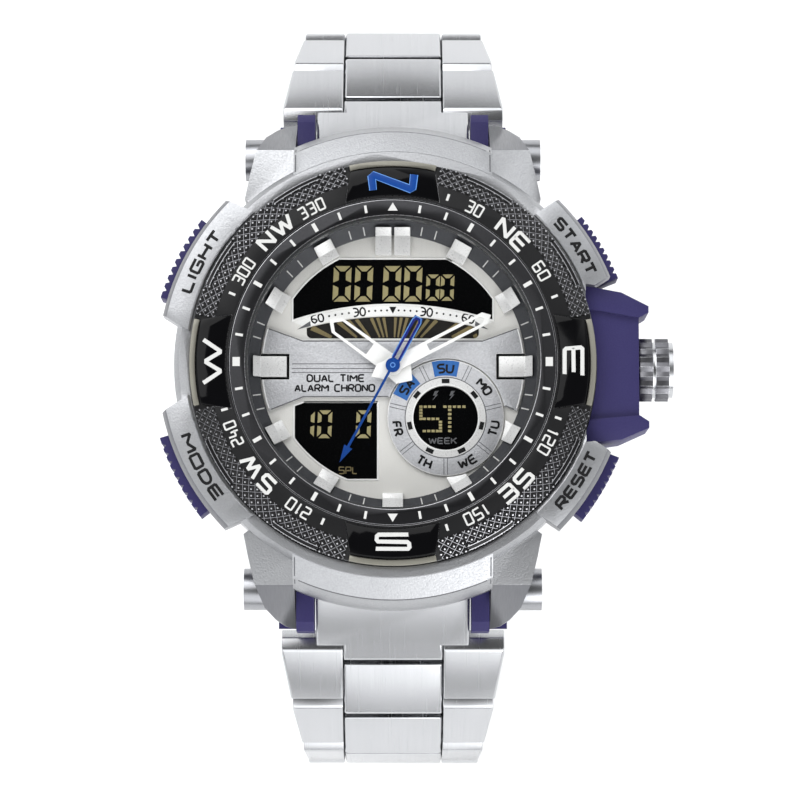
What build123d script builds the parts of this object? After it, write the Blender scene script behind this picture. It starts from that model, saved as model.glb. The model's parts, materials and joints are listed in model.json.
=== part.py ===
from build123d import *
import os
from math import asin, atan2, cos, degrees, hypot, radians, sin, sqrt

os.makedirs("parts", exist_ok=True)

# A sports watch with hands and digital windows on a folding-clasp bracelet, in millimetres.
# Origin: centre of the case back's outer face. Z points out through the crystal,
# Y to twelve o'clock and X to the crown. Clock angles run clockwise from twelve.

# Turns, in degrees
full_angle = 360
half_angle = 180
hour_angle = 30

# Clearances
running_gap = 0.05
fit_gap = 0.02
body_gap = 0.12
overrun = 1.0

# Rings of the head, from the case's radius inwards
case_radius = 24.2
shell_wall = 2.6
rim_inset = 0.6
bezel_inset = 1.8
bezel_width = 4.4
bezel_slope_width = 2.2
neck_wall = 1.7
crystal_inset = 0.3
flange_width = 1.5
works_inset = 1.8
rim_radius = case_radius - rim_inset
shell_inner = case_radius - shell_wall
bezel_outer = case_radius - bezel_inset
bezel_flat_outer = bezel_outer - bezel_slope_width
minute_ring_outer = bezel_outer - bezel_width
cavity_radius = minute_ring_outer - neck_wall
crystal_radius = cavity_radius - crystal_inset
flange_inner = cavity_radius - flange_width
works_radius = cavity_radius - works_inset

# Screwed case back and its gasket
back_reach = 0.6
back_radius = minute_ring_outer + back_reach
back_thickness = 1.2
back_key_count = 6
back_key_width = 3.0
back_key_reach = 1.6
back_key_depth = 0.5
back_gasket_width = 1.0
back_gasket_height = 0.3
back_gasket_room = 0.6

# Inner works, from the back upwards
works_sides = 24
sounder_radius = 9.0
sounder_thickness = 0.3
works_float = 0.3
frame_height = 4.8
board_thickness = 0.6
display_thickness = 1.2
display_float = 0.1
battery_radius = 4.75
battery_thickness = 2.1
battery_x = -5.5
battery_y = -6.0
coil_radius = 1.3
coil_length = 9.0
coil_core_radius = 0.5
coil_core_length = 11.0
coil_x = 4.0
coil_y = 8.0
pocket_gap = 0.15

# Dial, bridge and rings
dial_thickness = 0.4
bridge_thickness = 0.5
window_recess = 0.2
flange_foot = 0.3
ring_centre_x = 5.87
ring_centre_y = -5.7
weekday_radius = 6.5
weekday_window_radius = 3.6
weekday_thickness = 0.45

# Windows and raised parts of the dial
window_half = 11.2
window_top = 12.2
window_top_half = 6.0
window_radius = 13.57
window_corner = 5.2
window_bottom = 7.0
fan_half = 9.6
fan_corner = 4.4
fan_top = 5.7
fan_bottom = 3.2
lower_window_left = -9.9
lower_window_right = -1.65
lower_window_top = -3.9
lower_window_bottom = -12.6
lower_window_side = -11.0
lower_window_side_top = -4.3
display_upper_edge = 4.9
display_lower_edge = -3.2
bridge_radius = 14.65
bridge_top_y = 2.9
bridge_top_half = 10.0
bridge_wing_top = 4.6
bridge_bottom_y = -3.4
bridge_bottom_half = 9.9
bridge_wing_bottom = -5.3
marker_inner = 13.7
marker_outer = 15.75
marker_width = 2.15
marker_thickness = 0.6
twelve_marker_inner = 12.5
twelve_marker_outer = 15.5
twelve_marker_width = 1.8
twelve_marker_gap = 0.3
side_marker_inner = 11.8
side_marker_outer = 15.5
side_marker_width = 2.3
six_marker_inner = 14.1
six_marker_outer = 15.75
six_marker_width = 2.3
marker_seat_gap = 0.1
marker_recess = 0.3

# Hands
hand_lift = 0.4
hand_thickness = 0.2
hand_pitch = 0.5
hour_reach = 8.8
hour_width = 2.2
minute_reach = 12.3
minute_width = 1.55
hand_tail = 2.7
hand_border = 0.38
second_reach = 12.3
second_tail = 6.1
second_width = 1.0
second_boss_radius = 0.8
arbor_radius = 0.35
pipe_wall = 0.3
pipe_depth = 3.0
hour_clock = 306.4
minute_clock = 62.6
second_clock = 208.5

# Crystal and fixed ring
crystal_thickness = 2.0
crystal_clearance = 1.2
crystal_edge = 0.35
gasket_wall = 0.23
gasket_height = 1.6
minute_ring_height = 2.5
crystal_set_down = 0.3

# Mid case and shell
shell_bottom = 2.5
shell_lip = 2.2
shell_chamfer = 1.0
deck_drop = 1.8
bezel_gap = 0.1
bezel_float = 0.15
bezel_height = 3.9
bezel_slope_drop = 1.1
insert_inner_inset = 0.45
insert_outer_inset = 0.85
insert_half_width_inner = 5.14
insert_half_width_outer = 4.67
insert_depth = 0.6
insert_proud = 0.2
bar_inset = 0.65
slot_inset = 0.8
slot_depth = 0.7
slot_half_angle = 6.5
slot_offset_angle = 16.5

# Lugs and arch bars
lug_inner = 10.9
lug_outer = 16.5
lug_root_inset = 5.5
lug_reach = 4.6
lug_top = 10.2
lug_bottom = -0.9
arch_reach = 2.8
arch_top_reach = 1.8
arch_bottom = 4.4
arch_lip_height = 2.5
block_tip_reach = 0.4
block_top = 5.5
block_bottom = -1.6
toe_outer = 12.9
toe_length = 2.0
link_bay_half = 8.8
lug_pivot_reach = 0.2
lug_pivot_z = 2.0
lug_bar_radius = 0.9
lug_screw_radius = 2.35
lug_screw_proud = 16.7
lug_screw_slot_width = 0.55
lug_screw_slot_depth = 0.6

# Button guards, buttons and springs
guard_inset = 1.5
guard_reach = 1.8
guard_bottom = 9.0
guard_rise = 0.7
guard_bevel = 0.5
guard_drop = 1.5
left_guard_clock = 298.3
left_guard_inner_angle = 20.5
left_guard_outer_angle = 15.5
right_guard_clock = 56.5
right_guard_inner_angle = 13.5
right_guard_outer_angle = 11.0
button_height = 6.2
button_seat_reach = 0.3
button_depth = 2.6
button_tooth_count = 10
button_tooth_depth = 0.45
button_tooth_share = 0.6
button_half_tall = 2.2
button_travel = 0.9
left_button_clock = 297.4
left_button_angle = 10.5
right_button_clock = 59.7
right_button_angle = 8.5
button_pocket_gap = 0.15
button_stem_radius = 1.0
button_clip_radius = 1.5
button_clip_thickness = 0.3
spring_bore_radius = 2.0
spring_radius = 1.45
spring_wire = 0.4
spring_turns = 3
spring_sides = 8

# Crown, stem, lever and guard
crown_height = 5.6
crown_radius = 3.55
crown_seat_gap = 0.15
crown_length = 3.75
crown_pull = 1.2
crown_flutes = 20
crown_flute_depth = 0.3
crown_groove_width = 0.35
crown_groove_depth = 0.45
crown_end_chamfer = 0.5
stem_radius = 0.85
stem_inset = 2.3
stem_groove_radius = 0.5
stem_groove_width = 0.6
stem_groove_offset = 0.7
lever_half_width = 1.6
lever_drop = 0.9
crown_guard_root_half = 8.75
crown_guard_root_inset = 2.9
crown_guard_reach = 4.3
crown_guard_tip_half = 6.8
crown_guard_middle_half = 8.2
crown_guard_middle_reach = 1.2
crown_guard_notch_half = 6.1
crown_guard_panel_half = 5.45
crown_guard_panel_root_half = 6.2
crown_guard_notch_depth = 1.1
crown_guard_panel_inset = 0.3
crown_guard_low = 1.6
crown_guard_high = 11.4
crown_guard_panel_drop = 0.7
crown_guard_tip_drop = 2.4

# Bracelet
link_pitch = 8.0
link_half_thick = 1.7
link_barrel = 1.85
link_gap = 0.3
link_flat_angle = 22.0
link_pin_radius = 0.5
clasp_pin_recess = 0.4
centre_width = 11.2
outer_width_root = 6.9
outer_width_second = 5.78
outer_width_third = 4.68
outer_width_clasp = 4.28
pad_length = 2.8
pad_height = 2.0
end_link_reach = 6.1
end_link_drop = 5.7
end_link_half = 8.65
slope_angles_twelve = [42, 57, 82, 100, 118, 136, 152, 166]
slope_angles_six = slope_angles_twelve[:-1]
clasp_slope_angle = 180.0

# Clasp
cover_end_room = 2.6
cover_plate_start = 2.2
cover_ear_end = 3.0
cover_wall_start = 1.5
cover_plate_thickness = 1.0
cover_wall_width = 1.0
cover_wall_up = 2.0
plate_past_hinge = 0.7
tube_to_hinge = 4.0
blade_thickness = 0.8
blade_wall_gap = 0.8
blade_window_inset = 2.2
blade_window_end = 6.0
hinge_high_along = 4.2
knuckle_radius = 0.8
clasp_pin_radius = 0.4
inner_knuckle_inset = 1.0
tube_radius = 1.3
tube_end_gap = 0.15
tube_gap = 0.25
spring_bar_radius = 0.7
spring_tip_radius = 0.4
spring_tip_depth = 1.2

# Reaches worked out from the case's radius
back_gasket_inner = cavity_radius + back_gasket_room
insert_inner = minute_ring_outer + insert_inner_inset
insert_outer = bezel_outer - insert_outer_inset
bar_inner = bezel_outer - bar_inset
slot_inner = bezel_outer - slot_inset
lug_root = case_radius - lug_root_inset
lug_tip = case_radius + lug_reach
block_outer = lug_inner - body_gap
block_tip = lug_tip + block_tip_reach
arch_outer = case_radius + arch_reach
arch_top_outer = case_radius + arch_top_reach
lug_pivot_y = case_radius + lug_pivot_reach
guard_inner = case_radius - guard_inset
guard_outer = case_radius + guard_reach
button_inner = case_radius + button_seat_reach
button_outer = button_inner + button_depth
crown_guard_root_x = case_radius - crown_guard_root_inset
crown_guard_tip_x = case_radius + crown_guard_reach
crown_guard_panel_x = crown_guard_tip_x - crown_guard_notch_depth
crown_guard_panel_start = case_radius - crown_guard_panel_inset
crown_inner = crown_guard_panel_x + crown_seat_gap
crown_outer = crown_inner + crown_length
stem_inner = works_radius - stem_inset
stem_groove_start = stem_inner + stem_groove_offset
first_pivot_y = lug_pivot_y + end_link_reach
first_pivot_z = lug_pivot_z - end_link_drop

# Widths of the bracelet and clasp, from the centre piece outwards
pair_start = centre_width / 2 + body_gap
root_half = pair_start + outer_width_root
second_half = pair_start + outer_width_second
third_half = pair_start + outer_width_third
clasp_half = pair_start + outer_width_clasp
cover_wall_inner = clasp_half - cover_wall_width
blade_half = cover_wall_inner - blade_wall_gap
tube_half = centre_width / 2 - tube_end_gap
inner_knuckle_half = centre_width / 2 - inner_knuckle_inset

# The crown guard is drawn for one case radius and follows the case's
drawn_case_radius = 24.2
case_share = case_radius / drawn_case_radius
crown_guard_root_half *= case_share
crown_guard_tip_half *= case_share
crown_guard_notch_half *= case_share
crown_guard_panel_half *= case_share
crown_guard_panel_root_half *= case_share
crown_guard_middle_half *= case_share

# The dial's plan is drawn for one radius and follows the flange's
drawn_dial_radius = 14.8
dial_share = flange_inner / drawn_dial_radius
arbor_radius *= dial_share
pipe_wall *= dial_share
marker_width *= dial_share
sounder_radius *= dial_share
battery_radius *= dial_share
battery_x *= dial_share
battery_y *= dial_share
coil_length *= dial_share
coil_core_length *= dial_share
coil_x *= dial_share
coil_y *= dial_share
ring_centre_x *= dial_share
ring_centre_y *= dial_share
weekday_radius *= dial_share
weekday_window_radius *= dial_share
window_half *= dial_share
window_top *= dial_share
window_top_half *= dial_share
window_radius *= dial_share
window_corner *= dial_share
window_bottom *= dial_share
fan_half *= dial_share
fan_corner *= dial_share
fan_top *= dial_share
fan_bottom *= dial_share
lower_window_left *= dial_share
lower_window_right *= dial_share
lower_window_top *= dial_share
lower_window_bottom *= dial_share
lower_window_side *= dial_share
lower_window_side_top *= dial_share
display_upper_edge *= dial_share
display_lower_edge *= dial_share
bridge_radius *= dial_share
bridge_top_y *= dial_share
bridge_top_half *= dial_share
bridge_wing_top *= dial_share
bridge_bottom_y *= dial_share
bridge_bottom_half *= dial_share
bridge_wing_bottom *= dial_share
marker_inner *= dial_share
marker_outer *= dial_share
twelve_marker_inner *= dial_share
twelve_marker_outer *= dial_share
side_marker_inner *= dial_share
side_marker_outer *= dial_share
six_marker_inner *= dial_share
six_marker_outer *= dial_share
hour_reach *= dial_share
minute_reach *= dial_share
second_reach *= dial_share
second_tail *= dial_share

# Heights worked out from the stack
mid_bottom = back_thickness + back_gasket_height
frame_bottom = back_thickness + sounder_thickness + works_float
frame_top = frame_bottom + frame_height
board_top = frame_top + board_thickness
display_top = board_top + display_thickness
dial_bottom = display_top + display_float
dial_top = dial_bottom + dial_thickness
bridge_top = dial_top + bridge_thickness
hour_level = bridge_top + hand_lift
minute_level = hour_level + hand_pitch
second_level = minute_level + hand_pitch
crystal_bottom = second_level + hand_thickness + crystal_clearance
crystal_top = crystal_bottom + crystal_thickness
deck = crystal_bottom - deck_drop
neck_top = crystal_bottom - crystal_set_down
minute_ring_top = neck_top + minute_ring_height
bezel_bottom = deck + bezel_float
bezel_top = bezel_bottom + bezel_height
shell_top = deck + shell_lip
mid_radius = shell_inner - fit_gap
seat_radius = crystal_radius + gasket_wall + fit_gap


def turned(points):
    """A closed outline of radius and height, turned about the dial axis."""
    outline = Polyline([(radius, 0, height) for radius, height in points], close=True)
    return revolve(make_face(outline), Axis.Z)


def ring(inner, outer, low, high):
    """A plain ring about the dial axis."""
    return turned([(inner, low), (outer, low), (outer, high), (inner, high)])


def disc(radius, low, high, x=0, y=0):
    """A plain disc on an upright axis."""
    body = Cylinder(radius, high - low, align=(Align.CENTER, Align.CENTER, Align.MIN))
    return Pos(x, y, low) * body


def slab(points, low, high):
    """A flat outline in plan between two heights."""
    face = make_face(Polyline([(x, y, low) for x, y in points], close=True))
    return extrude(face, amount=high - low, dir=(0, 0, 1))


def side_slab(points, half_width):
    """An outline in y and height, made equally wide both ways along x."""
    face = make_face(Polyline([(0, y, z) for y, z in points], close=True))
    return extrude(face, amount=half_width, dir=(1, 0, 0), both=True)


def block(x_low, x_high, y_low, y_high, z_low, z_high):
    """A plain block between six planes."""
    corner = (Align.MIN, Align.MIN, Align.MIN)
    body = Box(x_high - x_low, y_high - y_low, z_high - z_low, align=corner)
    return Pos(x_low, y_low, z_low) * body


def rod(radius, start, end, y, z):
    """A round rod along x."""
    body = Cylinder(radius, end - start, align=(Align.CENTER, Align.CENTER, Align.MIN))
    return Pos(start, y, z) * Rot(0, 90, 0) * body


def clock_point(radius, clock):
    """Where a clock angle meets a radius, in plan."""
    return radius * sin(radians(clock)), radius * cos(radians(clock))


def arc_block(inner, inner_half, outer, outer_half, clock, low, high):
    """A block between two arcs about the dial axis, with straight ends."""
    inner_points = [clock_point(inner, clock + share * inner_half) for share in (-1, 0, 1)]
    outer_points = [clock_point(outer, clock + share * outer_half) for share in (1, 0, -1)]
    edges = [
        ThreePointArc(*inner_points),
        Line(inner_points[2], outer_points[0]),
        ThreePointArc(*outer_points),
        Line(outer_points[2], inner_points[0]),
    ]
    face = Pos(0, 0, low) * make_face(edges)
    return extrude(face, amount=high - low, dir=(0, 0, 1))


def at_clock(body, clock):
    """Turns something built along x to a clock angle."""
    return Rot(0, 0, 90 - clock) * body


def four_corners(body):
    """The body and its three mirror images about the x and y planes."""
    across = mirror(body, about=Plane.YZ)
    return [body, across, mirror(body, about=Plane.XZ), mirror(across, about=Plane.XZ)]


def both_ends(body):
    """The body at twelve o'clock and its twin at six."""
    return [body, Rot(0, 0, half_angle) * body]


def save(name, *bodies):
    """Writes one node, with each body as its own solid."""
    solids = [solid for body in bodies for solid in body.solids()]
    export_step(Compound(label=name, children=solids), f"parts/{name}.step")


BUTTONS = {
    "light": (left_button_clock, left_button_angle),
    "mode": (full_angle + half_angle - left_button_clock, left_button_angle),
    "start": (right_button_clock, right_button_angle),
    "reset": (half_angle - right_button_clock, right_button_angle),
}


def button_hollow(clock, half):
    """Pocket for the cap, bore for the spring and bore for the stem."""
    pocket_floor = button_inner - button_travel - button_pocket_gap
    edge = degrees((button_pocket_gap + button_travel * sin(radians(half))) / button_inner)
    low = button_height - button_half_tall - button_pocket_gap
    high = button_height + button_half_tall + button_pocket_gap
    pocket = arc_block(pocket_floor, half + edge, button_outer + overrun, half + edge, clock, low, high)
    spring_bore = rod(spring_bore_radius, mid_radius, button_outer, 0, button_height)
    stem_bore = rod(button_stem_radius + running_gap, works_radius, button_outer, 0, button_height)
    return pocket + at_clock(spring_bore, clock) + at_clock(stem_bore, clock)


def lug_bar_bore():
    """The holes for both lug bars and the wider ones for the heads of their screws."""
    bore = rod(lug_bar_radius + fit_gap, -block_outer, block_outer, lug_pivot_y, lug_pivot_z)
    seat = rod(lug_screw_radius + fit_gap, block_outer, lug_outer + overrun, lug_pivot_y, lug_pivot_z)
    return both_ends(bore + seat + mirror(seat, about=Plane.YZ))


def crown_bore():
    """The hole for the crown's stem."""
    return rod(stem_radius + running_gap, works_radius, crown_inner + overrun, 0, crown_height)


def crown_guard_outline(gap):
    """The crown guard in plan, grown by a gap where the shell makes room for it."""
    half = [
        (crown_guard_root_x, crown_guard_root_half + gap),
        (case_radius + crown_guard_middle_reach, crown_guard_middle_half + gap),
        (crown_guard_tip_x + gap, crown_guard_tip_half + gap),
        (crown_guard_tip_x + gap, crown_guard_notch_half),
        (crown_guard_panel_x, crown_guard_panel_half),
    ]
    return half + [(x, -y) for x, y in reversed(half)]


def mid_case():
    body = turned([
        (cavity_radius, mid_bottom),
        (mid_radius, mid_bottom),
        (mid_radius, deck),
        (minute_ring_outer, deck),
        (minute_ring_outer, neck_top),
        (cavity_radius, neck_top),
    ])
    block_root = sqrt(mid_radius ** 2 - block_outer ** 2) - overrun
    lug_block = side_slab([
        (block_root, mid_bottom),
        (lug_pivot_y, block_bottom),
        (block_tip - overrun, block_bottom),
        (block_tip, block_bottom + overrun / 2),
        (block_tip, block_top - overrun),
        (block_tip - overrun, block_top),
        (block_root, block_top),
    ], block_outer)
    lug_block += block(-toe_outer, toe_outer, block_tip - toe_length, block_tip - overrun / 2,
                       block_bottom, lug_bottom - fit_gap)
    lug_block -= block(-link_bay_half, link_bay_half, 0, block_tip + overrun, block_bottom - overrun,
                       shell_top)
    lug_block -= disc(mid_radius - overrun, block_bottom, shell_top)
    for block_part in both_ends(lug_block):
        body += block_part
    for bore in lug_bar_bore():
        body -= bore
    for clock, half in BUTTONS.values():
        body -= button_hollow(clock, half)
    return body - crown_bore()


def lug():
    """One lug: its plan outline cut by its side outline."""
    plan_shares = [(0, 1.0), (0.22, 0.965), (0.40, 0.90), (0.61, 0.78), (0.79, 0.53), (0.91, 0.25), (1.0, 0)]
    width = lug_outer - lug_inner
    length = lug_tip - lug_root
    plan = [(lug_inner + across * width, lug_root + along * length) for across, along in plan_shares]
    plan.append(clock_point(shell_inner + body_gap, degrees(asin((lug_outer - overrun) / case_radius))))
    plan.append((lug_inner, sqrt(shell_inner ** 2 - lug_inner ** 2) + body_gap))
    side_shares = [(-0.35, 1.0), (0.555, 0.955), (1.0, 0.09), (0.96, 0), (0.72, 0), (0.4, 0.03), (0.1, 0.3),
                   (-0.35, 0.31)]
    height = lug_top - lug_bottom
    side = [(lug_root + along * length, lug_bottom + up * height) for along, up in side_shares]
    return slab(plan, lug_bottom - overrun, lug_top + overrun) & side_slab(side, lug_outer + overrun)


def arch_bar():
    """The bar that joins two lugs over the end link."""
    lip_top = arch_top_outer
    body = turned([
        (shell_inner, arch_bottom),
        (arch_outer, arch_bottom),
        (arch_outer, shell_top - arch_lip_height - shell_chamfer),
        (lip_top, shell_top - shell_chamfer),
        (rim_radius, shell_top - body_gap),
        (shell_inner, shell_top - body_gap),
    ])
    return body & block(-lug_inner - body_gap, lug_inner + body_gap, 0, lug_tip, 0, shell_top)


def guard(clock, half_inner, half_outer):
    """A raised guard over one button."""
    high = shell_top + guard_rise
    section = turned([
        (guard_inner, guard_bottom),
        (guard_outer, guard_bottom),
        (guard_outer, high - guard_drop),
        (guard_outer - guard_bevel, high - guard_drop / 4),
        (guard_inner + guard_bevel / 2, high),
        (guard_inner, high - guard_bevel / 4),
    ])
    plan = arc_block(guard_inner - overrun, half_inner, guard_outer + overrun, half_outer, clock,
                     guard_bottom - overrun, high + overrun)
    return section & plan


def case_shell():
    body = turned([
        (shell_inner, shell_bottom),
        (case_radius - shell_chamfer, shell_bottom),
        (case_radius, shell_bottom + shell_chamfer),
        (case_radius, shell_top - shell_chamfer),
        (rim_radius, shell_top),
        (bezel_outer + bezel_gap, shell_top),
        (bezel_outer + bezel_gap, deck),
        (shell_inner, deck),
    ])
    under_arch = block(-block_outer - fit_gap, block_outer + fit_gap, 0, lug_tip + overrun,
                       -overrun, arch_bottom)
    for space in both_ends(under_arch):
        body -= space
    for bar in both_ends(arch_bar()):
        body += bar
    for piece in four_corners(lug()):
        body += piece
    for side in (1, -1):
        body += guard(270 + side * (left_guard_clock - 270), left_guard_inner_angle, left_guard_outer_angle)
        body += guard(90 - side * (90 - right_guard_clock), right_guard_inner_angle, right_guard_outer_angle)
    block_room = block(-block_outer - fit_gap, block_outer + fit_gap, 0, block_tip + fit_gap,
                       lug_bottom - overrun, block_top + fit_gap)
    for room in both_ends(block_room):
        body -= room
    body -= disc(shell_inner, lug_bottom - overrun, shell_top + overrun)
    for bore in lug_bar_bore():
        body -= bore
    for clock, half in BUTTONS.values():
        body -= button_hollow(clock, half)
    guard_room = slab(crown_guard_outline(fit_gap), lug_bottom, shell_top + overrun + guard_rise)
    body -= guard_room - disc(bezel_outer + bezel_gap + fit_gap, lug_bottom, shell_top)
    body -= disc(bezel_outer + bezel_gap, deck, shell_top + overrun + guard_rise)
    body -= crown_bore()
    return body


def crown_guard():
    """Two ribs that slope down to the crown, with a lower panel between them."""
    tip_low = crown_guard_high - crown_guard_tip_drop
    tip_end = crown_guard_tip_x + overrun
    tip_cut = turned([
        (crown_guard_panel_start, crown_guard_high),
        (tip_end, tip_low),
        (tip_end, crown_guard_high + overrun),
        (crown_guard_panel_start, crown_guard_high + overrun),
    ])
    drop = crown_guard_panel_drop
    panel_cut = turned([
        (0, crown_guard_high - drop),
        (crown_guard_panel_start, crown_guard_high - drop),
        (tip_end, tip_low - drop),
        (tip_end, crown_guard_high + overrun),
        (0, crown_guard_high + overrun),
    ])
    panel_plan = slab([
        (crown_guard_root_x, crown_guard_panel_root_half), (crown_guard_panel_x, crown_guard_panel_half),
        (tip_end, crown_guard_panel_half), (tip_end, -crown_guard_panel_half),
        (crown_guard_panel_x, -crown_guard_panel_half), (crown_guard_root_x, -crown_guard_panel_root_half),
    ], crown_height, crown_guard_high + overrun)
    body = slab(crown_guard_outline(0), crown_guard_low, crown_guard_high) - tip_cut
    body -= panel_cut & panel_plan
    body -= disc(bezel_outer + bezel_gap + body_gap, 0, shell_top + overrun)
    return body - crown_bore()


def case_back():
    """A screwed disc with key notches round its rim."""
    body = disc(back_radius, 0, back_thickness)
    half = back_key_width / 2
    key = block(back_radius - back_key_reach, back_radius + overrun, -half, half, 0, back_key_depth)
    for step in range(back_key_count):
        body -= at_clock(key, full_angle * step / back_key_count)
    return body


def case_back_gasket():
    return ring(back_gasket_inner, back_gasket_inner + back_gasket_width, back_thickness, mid_bottom)


def lug_screws():
    """Slotted heads that fill the lugs' holes, against the ends of the bars."""
    head = rod(lug_screw_radius, block_outer, lug_screw_proud, lug_pivot_y, lug_pivot_z)
    half_slot = lug_screw_slot_width / 2
    slot = block(lug_screw_proud - lug_screw_slot_depth, lug_screw_proud, lug_pivot_y - lug_screw_radius,
                 lug_pivot_y + lug_screw_radius, lug_pivot_z - half_slot, lug_pivot_z + half_slot)
    return four_corners(head - slot)


def lug_bars():
    return both_ends(rod(lug_bar_radius, -block_outer, block_outer, lug_pivot_y, lug_pivot_z))


def crystal():
    return turned([
        (0, crystal_bottom),
        (crystal_radius, crystal_bottom),
        (crystal_radius, crystal_top - crystal_edge),
        (crystal_radius - crystal_edge, crystal_top),
        (0, crystal_top),
    ])


def crystal_gasket():
    return ring(crystal_radius + fit_gap / 2, seat_radius - fit_gap / 2, crystal_bottom,
                crystal_bottom + gasket_height)


def minute_ring():
    return ring(seat_radius, minute_ring_outer, neck_top, minute_ring_top)


def flange_height(radius):
    """Height of the flange's slope at a radius."""
    share = (radius - flange_inner) / (cavity_radius - flange_inner)
    return dial_top + flange_foot + share * (neck_top - dial_top - flange_foot) / 2


def chapter_ring():
    outer = cavity_radius - running_gap
    return turned([
        (flange_inner, dial_top),
        (outer, dial_top),
        (outer, flange_height(outer)),
        (flange_inner, flange_height(flange_inner)),
    ])


def main_window():
    """The upper display window in plan."""
    corner = (window_half, window_corner)
    shoulder = (window_half, sqrt(window_radius ** 2 - window_half ** 2))
    top = (window_top_half, window_top)
    middle_clock = degrees(atan2(window_half + window_top_half, window_top + shoulder[1]))
    between = clock_point(window_radius, middle_clock)
    left = [(-x, y) for x, y in (corner, shoulder, top, between)]
    edges = [
        Line(corner, shoulder),
        ThreePointArc(shoulder, between, top),
        Line(top, left[2]),
        ThreePointArc(left[2], left[3], left[1]),
        Line(left[1], left[0]),
        ThreePointArc(left[0], (0, window_bottom), corner),
    ]
    return make_face(edges)


def fan_window():
    """The shallow rayed field under the upper window, in plan."""
    corner = (fan_half, fan_corner)
    edges = [
        ThreePointArc((-fan_half, fan_corner), (0, fan_top), corner),
        Line(corner, (fan_half, fan_bottom)),
        Line((fan_half, fan_bottom), (-fan_half, fan_bottom)),
        Line((-fan_half, fan_bottom), (-fan_half, fan_corner)),
    ]
    return make_face(edges)


def lower_window():
    """The lower left display window in plan."""
    side_low = (lower_window_side, -sqrt(window_radius ** 2 - lower_window_side ** 2))
    bottom_left = (-sqrt(window_radius ** 2 - lower_window_bottom ** 2), lower_window_bottom)
    middle = degrees(atan2(side_low[0] + bottom_left[0], side_low[1] + bottom_left[1]))
    edges = [
        Line((lower_window_left, lower_window_top), (lower_window_right, lower_window_top)),
        Line((lower_window_right, lower_window_top), (lower_window_right, lower_window_bottom)),
        Line((lower_window_right, lower_window_bottom), bottom_left),
        ThreePointArc(bottom_left, clock_point(window_radius, middle), side_low),
        Line(side_low, (lower_window_side, lower_window_side_top)),
        Line((lower_window_side, lower_window_side_top), (lower_window_left, lower_window_top)),
    ]
    return make_face(edges)


def raise_face(face, low, high):
    """A plan outline given its thickness."""
    return extrude(Pos(0, 0, low) * face, amount=high - low, dir=(0, 0, 1))


def hour_pipe_radius():
    """Outer radius of the hour hand's pipe, outside the minute pipe and the arbor."""
    return arbor_radius + 2 * (running_gap + pipe_wall)


def centre_hole(low, high):
    return disc(hour_pipe_radius() + running_gap, low, high)


def dial_plate():
    body = disc(cavity_radius - running_gap, dial_bottom, dial_top)
    for window in (main_window(), lower_window()):
        body -= raise_face(window, dial_bottom, dial_top)
    body -= raise_face(fan_window(), dial_top - window_recess, dial_top)
    body -= disc(weekday_window_radius, dial_bottom, dial_top, ring_centre_x, ring_centre_y)
    return body - centre_hole(dial_bottom, dial_top)


def dial_bridge():
    wing = bridge_radius
    right = [(wing, bridge_wing_bottom), (wing, bridge_wing_top), (bridge_top_half, bridge_top_y)]
    left = [(-bridge_top_half, bridge_top_y), (-wing, bridge_wing_top), (-wing, bridge_wing_bottom)]
    bottom = [(-bridge_bottom_half, bridge_bottom_y), (bridge_bottom_half, bridge_bottom_y)]
    body = slab(right + left + bottom, dial_top, bridge_top) & disc(bridge_radius, dial_top, bridge_top)
    body -= disc(weekday_radius + body_gap, dial_top, bridge_top, ring_centre_x, ring_centre_y)
    half = side_marker_width / 2 + marker_recess
    start = side_marker_inner - marker_recess
    body -= block(start, cavity_radius, -half, half, dial_top, bridge_top)
    body -= block(-cavity_radius, -start, -half, half, dial_top, bridge_top)
    return body - centre_hole(dial_top, bridge_top)


def weekday_ring():
    high = dial_top + weekday_thickness
    body = disc(weekday_radius, dial_top, high, ring_centre_x, ring_centre_y)
    body -= disc(weekday_window_radius, dial_top, high, ring_centre_x, ring_centre_y)
    return body - centre_hole(dial_top, high)


def marker(inner, outer, width, clock, offset=0):
    """A marker that lies on the dial and folds up over the flange."""
    fold = flange_inner - marker_seat_gap
    seat = marker_seat_gap
    outline = [
        (inner, dial_top),
        (fold, dial_top),
        (fold, flange_height(flange_inner) + seat),
        (outer, flange_height(outer) + seat),
        (outer, flange_height(outer) + seat + marker_thickness),
        (fold, dial_top + marker_thickness + seat),
        (inner, dial_top + marker_thickness),
    ]
    face = make_face(Polyline([(radius, 0, height) for radius, height in outline], close=True))
    body = extrude(face, amount=width / 2, dir=(0, 1, 0), both=True)
    return at_clock(Pos(0, offset, 0) * body, clock)


def hour_markers():
    shift = (twelve_marker_width + twelve_marker_gap) / 2
    markers = [marker(twelve_marker_inner, twelve_marker_outer, twelve_marker_width, 0, side * shift)
               for side in (-1, 1)]
    markers += [marker(side_marker_inner, side_marker_outer, side_marker_width, clock) for clock in (90, 270)]
    markers.append(marker(six_marker_inner, six_marker_outer, six_marker_width, 180))
    ring_room = disc(weekday_radius + body_gap, dial_top, crystal_bottom, ring_centre_x, ring_centre_y)
    for hour in (1, 2, 4, 5, 7, 8, 10, 11):
        markers.append(marker(marker_inner, marker_outer, marker_width, hour * hour_angle) - ring_room)
    return markers


def display(low_y, high_y):
    """A display glass: a slice of a disc between two straight edges."""
    body = works_slab(board_top, display_top)
    return body & block(-works_radius, works_radius, low_y, high_y, board_top, display_top)


def works_slab(low, high):
    """The works' outline: a round with flats."""
    clocks = [full_angle * side / works_sides for side in range(works_sides)]
    return slab([clock_point(works_radius, clock) for clock in clocks], low, high)


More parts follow.
